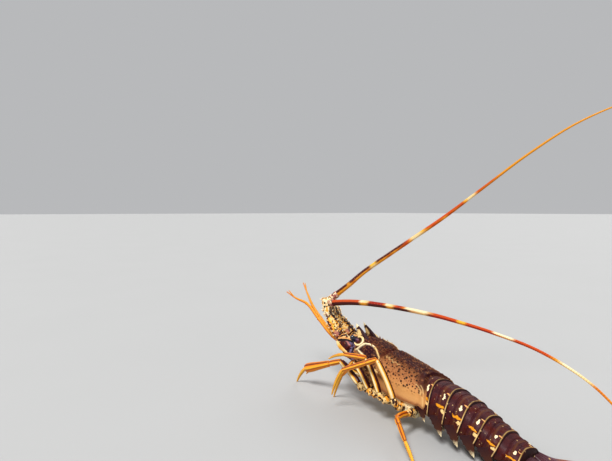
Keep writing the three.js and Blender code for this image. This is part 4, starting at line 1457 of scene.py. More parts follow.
    def build(self, thorn: Thorn) -> None:
        """Makes the shield, its horns and its thorns."""
        marks = {key: getattr(self, key) for key in ("groove", "cheek", "stain", "line", "lay")}
        skin("carapace_shield", (240, 260), self.place, Finish.CARAPACE, Slot.SHELL, "carapace", **marks)
        forward = vec(-1, 0, 0)
        serial = 0
        for side, (first, last, turn_a, turn_b, count, length) in itertools.product(Side, self.rows):
            for i in range(count):
                serial += 1
                share = i / (count - 1)
                waver = chance(vec(serial, count, 3), 4.0) - 0.5
                x = first + (last - first) * share + 1.6 * waver
                degrees = (turn_a + (turn_b - turn_a) * share + 3 * waver) * side.value
                size = length * (1 + 0.3 * waver)
                thorn.add(*self.surface(x, degrees), forward, size, 0.36 + 0.19 * size)
        for x, length in self.crest:
            thorn.add(*self.surface(x, 0.0), forward, length, 1.2)
        thorn.take("carapace_thorns", Finish.DARK_SPINE, Slot.SHELL)
        for side in Side:
            self.build_horn(side, thorn)
        thorn.take("horn_teeth", Finish.ORBIT, Slot.SHELL)

    def build_horn(self, side: Side, thorn: Thorn) -> None:
        """Makes the toothed horn over one eye."""
        root, tip, normal = (side.of(*point) for point in (*self.horn_ends, self.horn_normal))
        horn = Plate(root, tip, normal, 9.8, 3.6, hook=-2.4, teeth=4, bite=2.0, taper=1.9, edge=side.value)
        skin(f"horn_{side.word}", (72, 48), horn.place, Finish.HORN, Slot.SHELL)
        along, edge, thin = horn.axes()
        flat = thin * side.value
        for share, length in self.teeth:
            half = horn.width * (1 - share**horn.taper)
            foot = horn.line(share) + edge * (half * 0.84 + horn.hook * share**2)
            thorn.add(foot, edge, along, length, 1.9)
        for share, across in self.side_teeth:
            thorn.add(horn.line(share) + edge * across * 5 + flat * 2.6, flat, along, 2.0, 1.3)


@dataclass
class Head:
    """Fused front of the head: mouth frame, antennal roots, eyes and their orbits."""

    front: float = -150
    length: float = 31.7
    sections: Table = (
        (-150, 80, 68, 17), (-139, 83, 64, 21.5), (-127, 85, 60, 22), (-118.3, 87, 56, 20),
    )
    root_start: Point = (-128, 13.5, 73)
    root_end: Point = (-155, 11, 86)
    root_profile: Table = ((0, 9.1), (0.4, 11.4), (1, 9.4))
    root_thorns: Table = (
        (0.55, 20, 4.0), (0.8, 12, 5.0), (0.85, 55, 5.0), (0.86, 95, 4.6), (0.6, 80, 3.6), (0.86, 135, 4.0),
        (0.5, 120, 3.0),
    )
    edge_places: tuple[float, ...] = (-0.02, 0.25, 0.5, 0.74, 0.97)
    edge_radii: tuple[float, ...] = (2.2, 3.3, 3.8, 3.2, 2.0)
    stalk: tuple[Point, Point] = ((-116.5, 10, 88.4), (-125, 14.8, 91.6))
    eye_middle: Point = (-125.8, 15.4, 92.7)
    eye_axis: Point = (-11.7, 7.5, 4.5)
    eye_radii: Point = (4.0, 3.8, 3.9)
    orbit_middle: Point = (-110.4, 17.4, 91.6)
    orbit_radius: float = 6.7
    orbit_radii: tuple[float, ...] = (0.8, 1.2, 1.5, 1.7, 1.8, 1.8, 1.8, 1.8, 1.8, 1.7, 1.5, 1.2, 0.8)

    def place(self, t: Array, angle: Array) -> Array:
        """Points of the mouth frame."""
        x, even = self.front + self.length * t, Section.even(angle)
        grains = granules(Section.trunk(self.sections, x, even), 3.0, 3.0)
        points = Section.trunk(self.sections, x, even, 0.5 * grains - 0.9 * bell(x + 134, 1.5))
        points[:, 1:] += (vec(0, 73) - points[:, 1:]) * 0.12 * step(0.12, 0.0, t)[:, None]
        return points

    def build(self, thorn: Thorn) -> None:
        """Makes the head's pieces."""
        skin("mouth_frame", (60, 110), self.place, Finish.HEAD, Slot.HEAD, "head_front")
        for side in Side:
            self.build_root(side, thorn)
            self.build_eye(side)
            self.build_orbit(side)
        rostrum = Plate(vec(-112, 0, 90), vec(-128, 0, 97), vec(0, 0, 1), 4.2, 2.4, taper=1.5)
        skin("rostrum", (20, 24), rostrum.place, Finish.HORN, Slot.HEAD)
        thorn.take("head_thorns", Finish.SPINE, Slot.HEAD)

    def build_root(self, side: Side, thorn: Thorn) -> None:
        """Makes the root of one antenna with its edge, joint and lip."""
        start, end = side.of(*self.root_start), side.of(*self.root_end)
        root = Limb(start, end, self.root_profile, ridges=0.025, cap=0.35)
        skin(f"antenna_root_{side.word}", (40, 60), root.place, Finish.ROOT, Slot.HEAD)
        facing = -side.value
        edge = Path([root.surface(at, 108 * facing)[0] for at in self.edge_places], self.edge_radii)
        skin(f"root_edge_{side.word}", (70, 24), edge.rounded(0.3), Finish.EPISTOME, Slot.HEAD)
        along = root.axes()[0]
        seam = Limb(end - along * 1.6, end + along * 1.4, ((0, 9.3), (1, 9.3)), cap=0.12)
        skin(f"root_joint_{side.word}", (10, 60), seam.place, Finish.MEMBRANE, Slot.HEAD)
        lip = Limb(end - along * 4.6, end - along * 1.4, ((0, 9.9), (1, 9.9)), cap=0.16)
        skin(f"root_lip_{side.word}", (12, 60), lip.place, Finish.EPISTOME, Slot.HEAD)
        for at, turn, length in self.root_thorns:
            thorn.on(root, at, turn * facing, length, 1.5)

    def build_eye(self, side: Side) -> None:
        """Makes one eye and its stalk."""
        start, end = (side.of(*point) for point in self.stalk)
        stalk = Limb(start, end, ((0, 3.4), (0.5, 3.1), (1, 4.0)), cap=0.4)
        skin(f"eye_stalk_{side.word}", (20, 28), stalk.place, Finish.EYE_STALK, Slot.EYE)
        middle, long = side.of(*self.eye_middle), unit(side.of(*self.eye_axis))
        across = unit(np.cross([0, 0, 1.0], long))
        over = np.cross(long, across)
        deep, wide, tall = self.eye_radii

        def ball(t: Array, angle: Array) -> Array:
            """Points of the eye, a little sunk above its stalk."""
            polar = t * math.pi
            out = np.sin(polar) * (1 - 0.1 * bell(polar - 1.1, 0.5) * np.clip(np.cos(angle), 0, 1))
            centre = middle + long * (-np.cos(polar) * deep)[:, None]
            return hoop(centre, across, over, angle, out * wide, out * tall)

        skin(f"eye_ball_{side.word}", (40, 48), ball, Finish.EYE, Slot.EYE, f"eye_{side.word}")

    def build_orbit(self, side: Side) -> None:
        """Makes the pale raised crescent that frames one eye from behind."""
        middle, out = side.of(*self.orbit_middle), unit(side.of(0.2, 0.72, 0.66))
        back = unit(vec(1, 0, 0) - out * out[0])
        up = unit(np.cross(back, out)) * side.value
        turns = np.radians(np.linspace(-142, 138, len(self.orbit_radii)))
        points = [middle + self.orbit_radius * (back * math.cos(a) + up * math.sin(a)) for a in turns]
        rim = Path(points, self.orbit_radii).rounded(0.06, ringed(0.1, 2.6))
        skin(f"orbit_rim_{side.word}", (90, 24), rim, Finish.ORBIT, Slot.HEAD)


@dataclass
class Feelers:
    """Antennae with spiny stems and long whips, and the slender antennules. Pairs are left, then right."""

    stems: tuple[Table, Table] = (
        ((-155, -11, 86), (-182, -12, 113), (-191.5, -12, 142.5)),
        ((-155, 11, 86), (-188, 8.6, 108.5), (-205, 7.4, 134.5)),
    )
    lower_profile: Table = ((0, 8.0), (0.12, 9.0), (0.7, 8.9), (1, 8.0))
    upper_profile: Table = ((0, 7.6), (0.2, 8.6), (0.7, 8.5), (0.9, 7.6), (1, 5.6))
    collar_profile: Table = ((0, 5.0), (0.3, 5.9), (0.5, 5.2), (0.75, 5.7), (1, 4.6))
    whips: tuple[Table, Table] = (
        (
            (-172, -12, 136.5), (-135, -17.5, 144), (-97, -23, 150), (-65, -28, 153.6), (-32, -33, 156.6),
            (22, -42.6, 160.4), (52, -48, 161.8), (79, -53, 162), (126, -62.4, 161.4), (177, -73.4, 157.4),
            (221, -85.6, 145.6), (252, -98, 129),
        ),
        (
            (-188.5, 10, 146.5), (-171.5, 20.5, 163), (-158, 32, 179), (-119, 59.5, 214.6), (-96, 74, 234),
            (-51, 102.4, 272.6), (-29, 116, 293), (-6, 130, 314.5), (44, 161, 361), (93, 192, 399),
            (127, 214, 417), (158, 233, 428),
        ),
    )
    whip_root: float = 4.5
    whip_tip: float = 0.7
    collar_length: float = 17
    stem_thorns: tuple[Point, Point] = ((5.4, 3.2, 4.4), (4.4, 5.2, 3.4))
    whip_thorns: int = 30
    thorn_start: float = 6.0
    thorn_spacing: float = 6.4
    thorn_turn: float = 58
    fine_ring: float = 1.2
    antennules: tuple[Table, Table] = (
        (
            (-150.9, -3.4, 70.6), (-184, -5, 80.5), (-220, -5, 101.6), (-254, -5, 121.9), (-277, -9, 127),
            (-300, -14, 136),
        ),
        (
            (-150.9, 3.4, 70.6), (-187, 4.4, 78.6), (-226, 4.2, 100.8), (-248, 4.5, 117.6), (-268, 9, 134),
            (-288, 14, 151),
        ),
    )
    antennule_radii: tuple[float, ...] = (2.8, 2.6, 2.4, 2.2, 1.6, 0.8)

    def build(self, thorn: Thorn) -> None:
        """Makes both antennae and both antennules."""
        for side in Side:
            whip = self.whip_path(side)
            self.build_stem(side, whip, thorn)
            self.build_whip(side, whip, thorn)
            self.build_antennule(side)

    def whip_path(self, side: Side) -> Path:
        """Middle line and radii of one whip."""
        points = self.whips[side.index]
        share = np.arange(len(points)) / (len(points) - 1)
        return Path(points, self.whip_root + (self.whip_tip - self.whip_root) * share**0.9)

    def build_stem(self, side: Side, whip: Path, thorn: Thorn) -> None:
        """Makes the two stout segments of one antenna, its collar and their thorns.

        Args:
            side: Side of the body.
            whip: Middle line of the whip that the stem carries.
            thorn: Maker of thorns.
        """
        base, elbow, knob = np.array(self.stems[side.index], float)
        lower = Limb(base, elbow, self.lower_profile, ridges=0.03, cap=0.3)
        upper = Limb(elbow - unit(knob - elbow) * 1.5, knob, self.upper_profile, ridges=0.03, cap=0.6)
        run = unit(whip.points[1] - whip.points[0])
        root = whip.points[0]
        collar = Limb(root - run * self.collar_length, root + run * 0.8, self.collar_profile, cap=0.3)
        name = side.word
        skin(f"stem_lower_{name}", (60, 72), lower.place, Finish.STEM, Slot.HEAD, f"antenna_{name}_merus")
        skin(f"stem_upper_{name}", (60, 72), upper.place, Finish.KNOB, Slot.HEAD, f"antenna_{name}_carpus")
        skin(f"stem_collar_{name}", (40, 40), collar.place, Finish.COLLAR, Slot.HEAD)
        serial = 0
        for limb, sizes in zip((lower, upper), self.stem_thorns):
            for row, i in itertools.product(range(9), range(5)):
                serial += 1
                waver = chance(vec(serial, row, 7), side.value) - 0.5
                at = 0.1 + 0.175 * (i + 0.5 * (row % 2)) + 0.04 * waver
                size = sizes[(row + i) % 3] * (1 + 0.35 * waver)
                thorn.on(limb, at, row * 40 + 18 * waver, size, 0.45 + 0.24 * size)
        for row in range(8):
            thorn.on(upper, 0.97, row * 45, 3.2, 1.3)
        thorn.take(f"stem_thorns_{name}", Finish.WHITE_SPINE, Slot.HEAD)

    def build_whip(self, side: Side, whip: Path, thorn: Thorn) -> None:
        """Makes one long ringed whip with small thorns near its root.

        Args:
            side: Side of the body.
            whip: Its middle line.
            thorn: Maker of thorns.
        """
        place = whip.rounded(0.004, ringed(0.045, ANNULUS), root=False)
        faces = int(whip.length / ANNULUS * 5), 14
        nodes = [f"antenna_{side.word}_whip_{k}" for k in (1, 2, 3)]
        skin(f"whip_{side.word}", faces, place, Finish[f"WHIP_{side.name}"], Slot.WHIP, *nodes)
        for k in range(self.whip_thorns):
            distance = vec(self.thorn_start + self.thorn_spacing * k)
            centre, along, across, over = (item[0] for item in whip.frame_at(distance))
            for turn in (math.radians(-self.thorn_turn), math.radians(self.thorn_turn)):
                out = across * math.sin(turn) + over * math.cos(turn)
                thorn.add(centre + out * whip.radius(distance)[0] * 0.96, out, along, 1.5 - 0.02 * k, 0.7)
        thorn.take(f"whip_thorns_{side.word}", Finish.SPINE, Slot.WHIP)

    def build_antennule(self, side: Side) -> None:
        """Makes one antennule with its jointed shaft and forked end."""
        stem = Path(self.antennules[side.index], self.antennule_radii)
        joints, rings = stem.lengths[1:4], ringed(0.05, self.fine_ring)

        def swell(distance: Array) -> Array:
            """Swollen and pinched joints, and fine rings past the last of them."""
            wide = sum(0.14 * bell(distance - joint, 2.2) for joint in joints)
            pinch = sum(0.22 * bell(distance - joint - 2.4, 0.8) for joint in joints)
            return 1 + wide - pinch + (rings(distance) - 1) * step(joints[2], joints[2] + 3, distance)

        dress = Finish.ANTENNULE, Slot.ANTENNULE
        node = f"antennule_{side.word}"
        skin(f"antennule_stalk_{side.word}", (560, 16), stem.rounded(0.008, swell), *dress, node)
        root = stem.points[4] + (stem.points[5] - stem.points[4]) * 0.35
        run = unit(stem.points[5] - stem.points[4])
        bend = np.array(Matrix.Rotation(0.42, 3, "Y")) @ run
        twig = Path([root - run * 2, root + bend * 6.5 + vec(0, 0, 0.4), root + bend * 13], (1.2, 0.95, 0.5))
        skin(f"antennule_twig_{side.word}", (80, 12), twig.rounded(0.05, rings), *dress)


# Legs and underside


@dataclass
class Legs:
    """Five pairs of walking legs, their roots and the plate that carries them.

    A leg is given by its root, hip, knee, ankle and toe, those of the left side first.
    """

    joints: tuple[tuple[Table, ...], tuple[Table, ...]] = (
        (
            (
                (-74, -14, 38), (-91, -28, 30), (-141, -25, 55), (-209, -41, 28.2), (-233, -40, -1),
            ),
            (
                (-58, -17, 33), (-68, -34, 31), (-99, -37, 69), (-124, -38, 42), (-149, -32, -1),
            ),
            (
                (-37, -19, 30), (-46, -37.5, 32), (-70.5, -42, 82), (-113, -43.5, 76), (-148, -43, 60.5),
            ),
            (
                (-22, -20, 27), (-20, -38, 32), (-42, -51, 89), (-100, -59, 60.5), (-117, -63, 21.5),
            ),
            (
                (-6, -19, 26), (-3, -34, 28), (2, -62, 32), (27.5, -76, 18), (61, -94.5, -1),
            ),
        ),
        (
            (
                (-74, 14, 38), (-91, 28, 30), (-136, 34, 48), (-192, 52, 30), (-210, 59, -1),
            ),
            (
                (-58, 17, 33), (-68, 34, 31), (-110, 43, 54), (-154, 58, 33), (-170, 65, -1),
            ),
            (
                (-40, 19, 30), (-49, 37, 31), (-86, 52, 51), (-128, 68, 30), (-145, 76, -1),
            ),
            (
                (-22, 20, 27), (-20, 38, 31), (-57, 56, 40), (-98, 76, 27), (-114, 85, -1),
            ),
            ((-6, 19, 26), (-3, 34, 27), (5, 52, 27), (35, 66, 15), (68, 80, -1)),
        ),
    )
    girths: tuple[float, ...] = (1.16, 1.0, 1.0, 1.0, 0.9)
    carpus_share: float = 0.31
    coxa: Table = ((0, 6.4), (0.5, 5.9), (0.7, 5.5), (1, 4.8))
    ischium: Table = ((0, 4.1), (0.5, 4.6), (1, 3.9))
    merus: Table = ((0, 3.6), (0.15, 3.95), (0.5, 3.75), (0.85, 3.75), (1, 3.2))
    carpus: Table = ((0, 3.1), (0.4, 3.6), (0.8, 3.6), (1, 2.9))
    propodus: Table = ((0, 2.7), (0.15, 3.1), (0.5, 3.05), (0.85, 2.75), (1, 2.3))
    claw_propodus: Table = ((0, 2.8), (0.2, 3.2), (0.45, 3.7), (0.75, 4.4), (0.9, 4.2), (1, 3.1))
    dactyl: Table = ((0, 2.2), (0.2, 2.35), (0.6, 1.8), (0.9, 1.1), (1, 0.8))
    merus_thorns: Table = ((0.93, 0, 3.0), (0.93, 62, 2.2), (0.93, -62, 2.2), (0.72, 8, 1.6), (0.5, -8, 1.3))
    sternum_front: float = -117
    sternum_length: float = 114
    seams: tuple[float, ...] = (-84, -66, -49, -31, -14)
    sternum_sections: Table = (
        (-117, 64, 49, 12), (-103, 60, 42, 17), (-78, 50, 33, 22), (-52, 46, 25, 26), (-26, 46, 20, 27),
        (-3, 47, 18, 26),
    )
    thighs: ClassVar[tuple[Finish, ...]] = (*[Finish.BANDED_MERUS] * 3, Finish.MERUS, Finish.SHANK)

    def build(self, thorn: Thorn) -> None:
        """Makes the sternum and every leg."""
        skin("sternum_plate", (120, 100), self.place_sternum, Finish.STERNUM, Slot.PALE, "sternum")
        legs = {side: np.array(self.joints[side.index], float) for side in Side}
        for side in Side:
            for index, points in enumerate(legs[side]):
                self.build_leg(side, index, points, thorn)
            thorn.take(f"leg_thorns_{side.word}", Finish.SPINE, Slot.LEG)
        for points in itertools.chain(*legs.values()):
            self.add_bristles(points, thorn)
        thorn.take("leg_bristles", Finish.BRISTLE, Slot.LEG)

    def place_sternum(self, t: Array, angle: Array) -> Array:
        """Points of the plate under the thorax, grooved between the legs."""
        x, even, down = self.sternum_front + self.sternum_length * t, Section.even(angle), descent(angle)
        grains = granules(Section.trunk(self.sternum_sections, x, even), 3.2, 4.0)
        seams = sum(bell(x - seam, 1.4) for seam in self.seams)
        lift = -1.3 * seams * step(0.5, 0.6, down) + 0.25 * grains - 1.0 * bell(down - 1, 0.03)
        return Section.trunk(self.sternum_sections, x, even, lift)

    def build_leg(self, side: Side, index: int, points: Array, thorn: Thorn) -> None:
        """Makes the pieces of one leg.

        Args:
            side: Side of the body.
            index: Leg number from the front, starting at 0.
            points: Root, hip, knee, ankle and toe.
            thorn: Maker of thorns.
        """
        root, hip, knee, ankle, toe = points
        girth, name, claw = self.girths[index], f"{side.word}_{index + 1}", index == 0
        waist = hip + (knee - hip) * 0.17
        wrist = knee + (ankle - knee) * self.carpus_share
        profile, depth = (self.claw_propodus, 1.42) if claw else (self.propodus, 1.14)
        coxa = Limb(root, hip, self.coxa, girth, ridges=0.04, cap=0.5)
        ischium = Limb(hip - unit(waist - hip) * 1.5, waist, self.ischium, girth, cap=0.5)
        merus = Limb(waist - unit(knee - waist), knee, self.merus, girth, 1.08, bow=1.2, cap=0.7, ridges=0.02)
        carpus = Limb(knee, wrist, self.carpus, girth, cap=0.7, ridges=0.02)
        propodus = Limb(wrist - unit(ankle - wrist), ankle, profile, girth, depth, cap=0.6, ridges=0.02)
        dactyl = Limb(ankle, toe, self.dactyl, girth, bow=1.6, cap=0.6, floor=0.0)
        skin(f"coxa_{name}", (36, 40), coxa.place, Finish.COXA, Slot.PALE)
        skin(f"ischium_{name}", (20, 36), ischium.place, Finish.COXA, Slot.PALE)
        skin(f"merus_{name}", (56, 36), merus.place, self.thighs[index], Slot.LEG, f"leg_{name}_thigh")
        skin(f"carpus_{name}", (30, 36), carpus.place, Finish.SHANK, Slot.LEG)
        skin(f"propodus_{name}", (48, 36), propodus.place, Finish.SHANK, Slot.LEG, f"leg_{name}_shank")
        skin(f"dactyl_{name}", (48, 28), dactyl.place, Finish.DACTYL, Slot.LEG, f"leg_{name}_dactyl")
        for at, turn, length in self.merus_thorns:
            thorn.on(merus, at, turn, length, 1.2)
        for turn in (20, -20, 95, -95):
            thorn.on(carpus, 0.84, turn, 1.8, 1.0)
        thorn.on(coxa, 0.86, 150, 2.4, 1.4)
        if claw:
            base = knee + (ankle - knee) * 0.76
            tip = base + (unit(ankle - knee) * 15 + vec(0, 0, -9.3))
            spur = Limb(base, tip, ((0, 3.8), (0.5, 2.6), (1, 0.6)), bow=1.0, cap=0.5)
            skin(f"spur_{name}", (30, 24), spur.place, Finish.SHANK, Slot.LEG)

    def add_bristles(self, points: Array, thorn: Thorn) -> None:
        """Adds rows of stiff bristles to the tip of one leg.

        Args:
            points: Root, hip, knee, ankle and toe.
            thorn: Maker of thorns.
        """
        tip = Limb(points[3], points[4], self.dactyl, bow=1.6)
        for i, turn in itertools.product(range(11), (-130, -45, 45, 130)):
            at, degrees = 0.12 + 0.066 * i, turn + 9 * (i % 2)
            if tip.surface(at, degrees)[0][2] > 3:
                thorn.on(tip, at, degrees, 1.7, 0.28)


@dataclass
class Mouthparts:
    """Third maxillipeds, folded forward under the head."""

    line: Table = ((-105, 8, 41), (-119, 10, 39), (-137, 12, 43), (-154, 12.5, 49), (-168, 12, 47))
    radii: tuple[float, ...] = (4.0, 4.0, 3.6, 2.9, 1.3)
    hairs: int = 26
    hair_start: float = 8.0
    hair_spacing: float = 2.1

    def build(self, thorn: Thorn) -> None:
        """Makes both maxillipeds and their fringes."""
        for side in Side:
            self.build_one(side, thorn)
        thorn.take("mouth_fringe", Finish.BRISTLE, Slot.LEG)

    def build_one(self, side: Side, thorn: Thorn) -> None:
        """Makes one maxilliped and its fringe."""
        line = Path([side.of(*point) for point in self.line], self.radii)

        def swell(distance: Array) -> Array:
            """Pinched joints."""
            return 1.04 - sum(0.16 * bell(distance - joint, 1.2) for joint in line.lengths[1:4])

        place = line.rounded(0.035, swell)
        skin(f"mouth_leg_{side.word}", (150, 28), place, Finish.MERUS, Slot.LEG, f"maxilliped_{side.word}")
        for k in range(self.hairs):
            distance = vec(self.hair_start + self.hair_spacing * k)
            centre, along, across, _ = (item[0] for item in line.frame_at(distance))
            out = unit(-across * side.value + 0.3 * chance(vec(k, 1, 2), 1.0) * along)
            thorn.add(centre + out * line.radius(distance)[0] * 0.95, out, along, 2.6, 0.3)


# Tail


@dataclass
class Abdomen:
    """Six somites with side plates and swimmerets.

    A margin is given by its place, height, tilt, depth and half width, and a side plate by its drop,
    breadth and sweep.
    """

    margins: Table = (
        (-4, 69.4, 5, 40, 28), (18, 68.2, 7, 41, 28.4), (43, 63.4, 13, 40, 28), (66, 55.8, 20, 37, 26.8),
        (87.5, 46.4, 25, 33, 25), (108, 36.4, 26, 28, 23), (129, 26.4, 22, 19, 21),
    )
    pleura: Table = ((3, 6, 3), (9, 9, 6), (9, 9, 7), (8, 9, 8), (6, 8.5, 9), (2, 7, 9))
    pleuron_thorns: Table = ((0.36, 3.4), (0.52, 3.2), (0.68, 2.6), (0.82, 2.0))
    widest: float = 0.6
    flank_angle: float = 1.66
    swimmeret_out: float = 11.0

    def section(self, k: int, t: Array, angle: Array, grow: Array | float = 0.0) -> Array:
        """Points of one somite between its margins.

        Args:
            k: Somite number from the front, starting at 0.
            t: Places from its front margin to its rear one.
            angle: Angles, 0 above.
            grow: Distance outside the plain section.

        Returns:
            Points in the model's frame.
        """
        front, back = np.array(self.margins[k]), np.array(self.margins[k + 1])
        x, z, tilt, depth, half = front[:, None] + (back - front)[:, None] * t
        lean = np.radians(tilt)
        down = np.stack([-np.sin(lean), np.zeros_like(lean), -np.cos(lean)], axis=-1)
        middle = depth * self.widest
        fall = Section.rise(angle, middle + grow, depth - middle + grow)
        points = np.stack([x, np.zeros_like(x), z], axis=-1) + down * (middle - fall)[:, None]
        points[:, 1] = boxed(np.sin(angle), Section.FLANK) * (half + grow)
        points[:, 0] += 9 * (np.abs(points[:, 1]) / 30) ** 1.6
        return points

    def build(self, thorn: Thorn) -> None:
        """Makes every somite."""
        for k in range(len(self.pleura)):
            self.build_somite(k)
            for side in Side:
                self.build_pleuron(k, side, thorn)
                if 1 <= k <= 4:
                    self.build_swimmeret(k, side)
        thorn.take("side_plate_thorns", Finish.SPINE, Slot.ABDOMEN)

    def build_somite(self, k: int) -> None:
        """Makes one ring of the tail, with a sunk front part that slides under the ring before it."""

        def place(t: Array, angle: Array) -> Array:
            """Points of the ring with its grooves and granules."""
            even, down = Section.even(angle), descent(angle)
            upper = step(0.72, 0.6, down)
            lift = 0.9 * step(0.3, 0.4, t) - 1.1 * bell(t - 0.36, 0.035)
            lift -= 0.6 * bell(t - 0.56, 0.03) * step(0.1, 0.2, down)
            lift += 0.5 * bell(t - 0.93, 0.05)
            lift += 0.22 * granules(self.section(k, t, even), 2.8, 6.0 + k) * step(0.4, 0.5, t)
            return self.section(k, t, even, lift * upper - 0.5)

        skin(f"somite_{k + 1}", (72, 200), place, Finish.TERGITE, Slot.ABDOMEN, f"abdomen_{k + 1}")

    def build_pleuron(self, k: int, side: Side, thorn: Thorn) -> None:
        """Makes the hooked and toothed side plate of one somite.

        Args:
            k: Somite number from the front, starting at 0.
            side: Side of the body.
            thorn: Maker of thorns.
        """
        drop, breadth, sweep = self.pleura[k]
        angle = self.flank_angle if side is Side.RIGHT else TAU - self.flank_angle
        edge = self.section(k, vec(0.48), vec(angle))[0] - side.of(0, 1.3, 0)
        base, tip = edge + vec(-1, 0, 3), edge + vec(sweep, 0, -12 - drop)
        plate = Plate(base, tip, vec(0, 1, 0), breadth, 1.9, hook=-2.0, teeth=4, bite=2.2, taper=1.5, edge=-1)
        skin(f"side_plate_{k + 1}_{side.word}", (44, 32), plate.place, Finish.PLEURON, Slot.ABDOMEN)
        out, lean = unit(vec(0.8, 0, -0.5)), vec(0.4, 0, -1)
        for share, length in self.pleuron_thorns:
            half = breadth * (1 - share**1.5) * 0.9
            thorn.add(plate.line(share) + vec(half - 2.0 * share**2, 0, 0), out, lean, length, 1.1)

    def build_swimmeret(self, k: int, side: Side) -> None:
        """Makes one leaf-shaped swimmeret under a somite."""
        x, _, z = self.section(k, vec(0.62), vec(math.pi))[0]
        base = side.of(x, self.swimmeret_out, z + 3)
        tip = side.of(x + 7, self.swimmeret_out * 1.05, max(3.0, z - 13))
        leaf = Plate(base, tip, vec(1, 0, 0.2), 6.4, 1.1, taper=3.0)
        skin(f"swimmeret_{k + 1}_{side.word}", (30, 28), leaf.place, Finish.PLEURON, Slot.ABDOMEN)


@dataclass
class Paddle:
    """One side plate of the tail fan, splayed away from the body's line by some degrees."""

    name: str
    root: Pair
    splay: float
    length: float
    top: float
    half: float
    base: float
    side: Side
    rays: float = 30
    profile: Table = (
        (0, 1, 1, 8), (0.16, 1.45, 0.72, 7.4), (0.36, 2.5, 0.4, 6.6), (0.56, 3.3, 0.27, 6.2),
        (0.8, 3.5, 0.21, 5.2), (0.95, 2.6, 0.16, 4.4), (1, 1.2, 0.13, 3.8),
    )

    def place(self, t: Array, angle: Array) -> Array:
        """Points of the plate, with rays, a keel and a thin edge that lies on the floor."""
        turn, up, lobe = math.radians(self.splay), np.cos(angle), boxed(np.sin(angle), 0.8)
        wide, rise, thick = columns(self.profile, t)
        reach = self.base + (self.half - self.base) * (wide - 1) / 2.5
        upper = self.top * rise + 1.4
        lower = np.maximum(-1, upper - thick)
        rays = 0.2 * np.cos(lobe * self.rays) * step(0.45, 0.55, t)
        keel = 0.9 * bell(lobe, 0.16) * step(0.7, 0.4, t)
        tall = (upper - lower) / 2
        crest = boxed(up, 0.9) * tall + rays + keel
        height = (upper + lower) / 2 + np.where(up > 0, crest, boxed(up, 0.4) * tall)
        run, out = t * self.length, lobe * reach * self.side.value
        x = self.root[0] + math.cos(turn) * run - math.sin(turn) * out
        y = self.root[1] + math.sin(turn) * run + math.cos(turn) * out
        return np.stack([x, y * self.side.value, np.maximum(height, 0.0)], axis=-1)

    def ray(self, t: Array, angle: Array) -> Array:
        """Strength of the rays, from 0 to 1."""
        return 0.5 - 0.5 * np.cos(boxed(np.sin(angle), 0.8) * self.rays)

    def build(self) -> None:
        """Makes the plate."""
        name = f"{self.name}_{self.side.word}"
        skin(f"tail_{name}", (96, 96), self.place, Finish.FAN, Slot.FAN, f"uropod_{name}", ray=self.ray)


@dataclass
class TailFan:
    """Telson and two pairs of uropods, lying on the floor."""

    front: float = 125.6
    length: float = 68.4
    rays: float = 26
    telson: Table = (
        (125.6, 21, 11, 10.5), (138, 16, 6.5, 14), (150, 10.6, 2.4, 17), (161, 7, -1, 19.5),
        (176, 5, -1, 20.5), (188, 3.8, -1, 17.5), (194, 2.8, -1, 9),
    )
    thorns: Table = ((139, 9), (139, 3.5), (148, 12), (148, 5.5), (154, 14))

    def build(self, thorn: Thorn) -> None:
        """Makes the five plates of the fan and the telson's thorns."""
        skin("tail_middle", (110, 150), self.place, Finish.FAN, Slot.FAN, "telson", ray=self.ray)
        for x, y in self.thorns:
            top, _, half = columns(self.telson, vec(x))[:, 0]
            for side in Side:
                thorn.add(side.of(x, y, top - 4.5 * (y / half) ** 2), vec(0, 0, 1), vec(1, 0, 0), 1.9, 1.0)
        for side in Side:
            Paddle("inner", (126, 15.4), 15, 66, 19, 14.5, 4.0, side).build()
            Paddle("outer", (123, 21.6), 37, 65, 18, 15.5, 4.4, side).build()
        thorn.take("telson_thorns", Finish.SPINE, Slot.FAN)

    def place(self, t: Array, angle: Array) -> Array:
        """Points of the telson, rayed in its rear half and cut level where it lies down."""
        x = self.front + self.length * t
        turn = np.arctan2(np.sin(angle), np.cos(angle) + 1e-9)
        rays = 0.22 * np.cos(turn * self.rays) * step(0.42, 0.5, t) - 0.5 * bell(t - 0.42, 0.02)
        points = Section.trunk(self.telson, x, Section.even(angle), rays * step(0.6, 0.5, descent(angle)))
        points[:, 0] += (points[:, 2] - 16) * 0.49 * np.clip(1 - (x - self.front) / 20, 0, 1)
        points[:, 2] = np.maximum(points[:, 2], 0.0)
        return points

    def ray(self, t: Array, angle: Array) -> Array:
        """Strength of the rays, from 0 to 1."""
        return 0.5 - 0.5 * np.cos(angle * self.rays)


# Studio


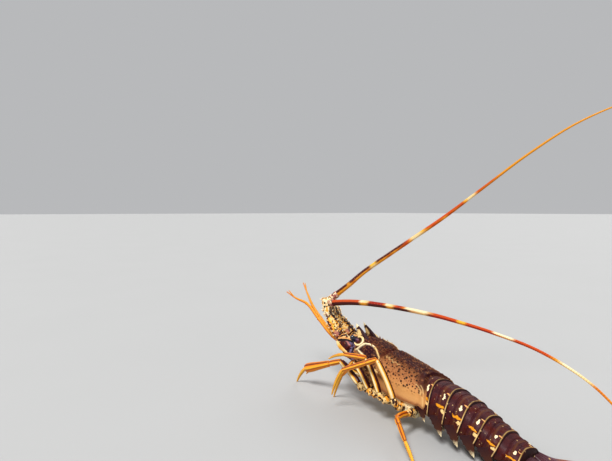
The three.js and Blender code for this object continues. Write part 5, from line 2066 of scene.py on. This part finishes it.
@dataclass
class Studio:
    """Plain floor, soft light and the photograph's point of view."""

    eye: Point = (363.6, -470.0, 280.4)
    yaw: float = 53.04
    pitch: float = -2.51
    lens: float = 26.7
    sky: tuple[float, ...] = (0.97, 0.98, 1.0, 1.0)
    sky_power: float = 0.44
    floor_size: float = 40.0
    suns: tuple[tuple[str, Point, float, float], ...] = (
        ("key", (0.35, -0.75, 1.15), 20.0, 2.9),
        ("fill", (-1.6, -0.7, 0.9), 50.0, 0.35),
        ("rim", (-0.3, 1.0, 0.9), 30.0, 0.5),
    )

    def build(self) -> None:
        """Makes the floor, the lights and the camera."""
        self.build_floor()
        for sun in self.suns:
            self.build_sun(*sun)
        world = bpy.data.worlds.new("soft room")
        world.use_nodes = True
        background = world.node_tree.nodes["Background"].inputs
        background[0].default_value, background[1].default_value = self.sky, self.sky_power
        scene = bpy.context.scene
        scene.world = world
        scene.view_settings.view_transform = "Standard"
        scene.view_settings.look = "Medium High Contrast"
        self.build_camera()

    def build_floor(self) -> None:
        """Makes a wide plain pale floor."""
        bm = bmesh.new()
        bmesh.ops.create_grid(bm, x_segments=4, y_segments=4, size=self.floor_size)
        mesh = bpy.data.meshes.new("floor")
        bm.to_mesh(mesh)
        bm.free()
        floor = new_object("floor", mesh)
        g = Graph.material("pale floor", 0.0, 0.5)
        g.base = g.mix(g.span(g.noise(3, 2), 0.3, 0.7), Hue.CHALK, Hue.PAPER)
        mesh.materials.append(g.done(0.75))

    def build_sun(self, name: str, origin: Point, spread: float, power: float) -> None:
        """Makes one broad far light.

        Args:
            name: Name of the light.
            origin: Direction that it comes from.
            spread: Its breadth in the sky, in degrees.
            power: Its strength.
        """
        light = bpy.data.lights.new(name, "SUN")
        light.angle, light.energy = math.radians(spread), power
        lamp = bpy.data.objects.new(name, light)
        lamp.rotation_euler = Vector(origin).to_track_quat("Z", "Y").to_euler()
        bpy.context.scene.collection.objects.link(lamp)

    def build_camera(self) -> None:
        """Makes the camera at the photograph's viewing angle."""
        camera = bpy.data.cameras.new("camera")
        camera.lens, camera.sensor_width, camera.sensor_fit = self.lens, 36.0, "HORIZONTAL"
        camera.clip_start, camera.clip_end = 0.01, 100.0
        thing = bpy.data.objects.new("camera", camera)
        thing.location = Vector(PLACE.metres(vec(*self.eye)))
        yaw, pitch = math.radians(self.yaw), math.radians(self.pitch)
        look = Vector((-math.sin(yaw) * math.cos(pitch), math.cos(yaw) * math.cos(pitch), math.sin(pitch)))
        thing.rotation_euler = look.to_track_quat("-Z", "Y").to_euler()
        bpy.context.scene.collection.objects.link(thing)
        bpy.context.scene.camera = thing


def main() -> None:
    """Builds the lobster in order, then the studio round it."""
    logging.basicConfig(level=logging.INFO, format="%(name)s %(message)s")
    thorn = Thorn()
    for part in (Carapace(), Head(), Feelers(), Mouthparts(), Legs(), Abdomen(), TailFan()):
        part.build(thorn)
    bpy.data.meshes.remove(thorn.template)
    Studio().build()
    log.info("thorns in all: %d", thorn.count)


if __name__ == "__main__":
    main()
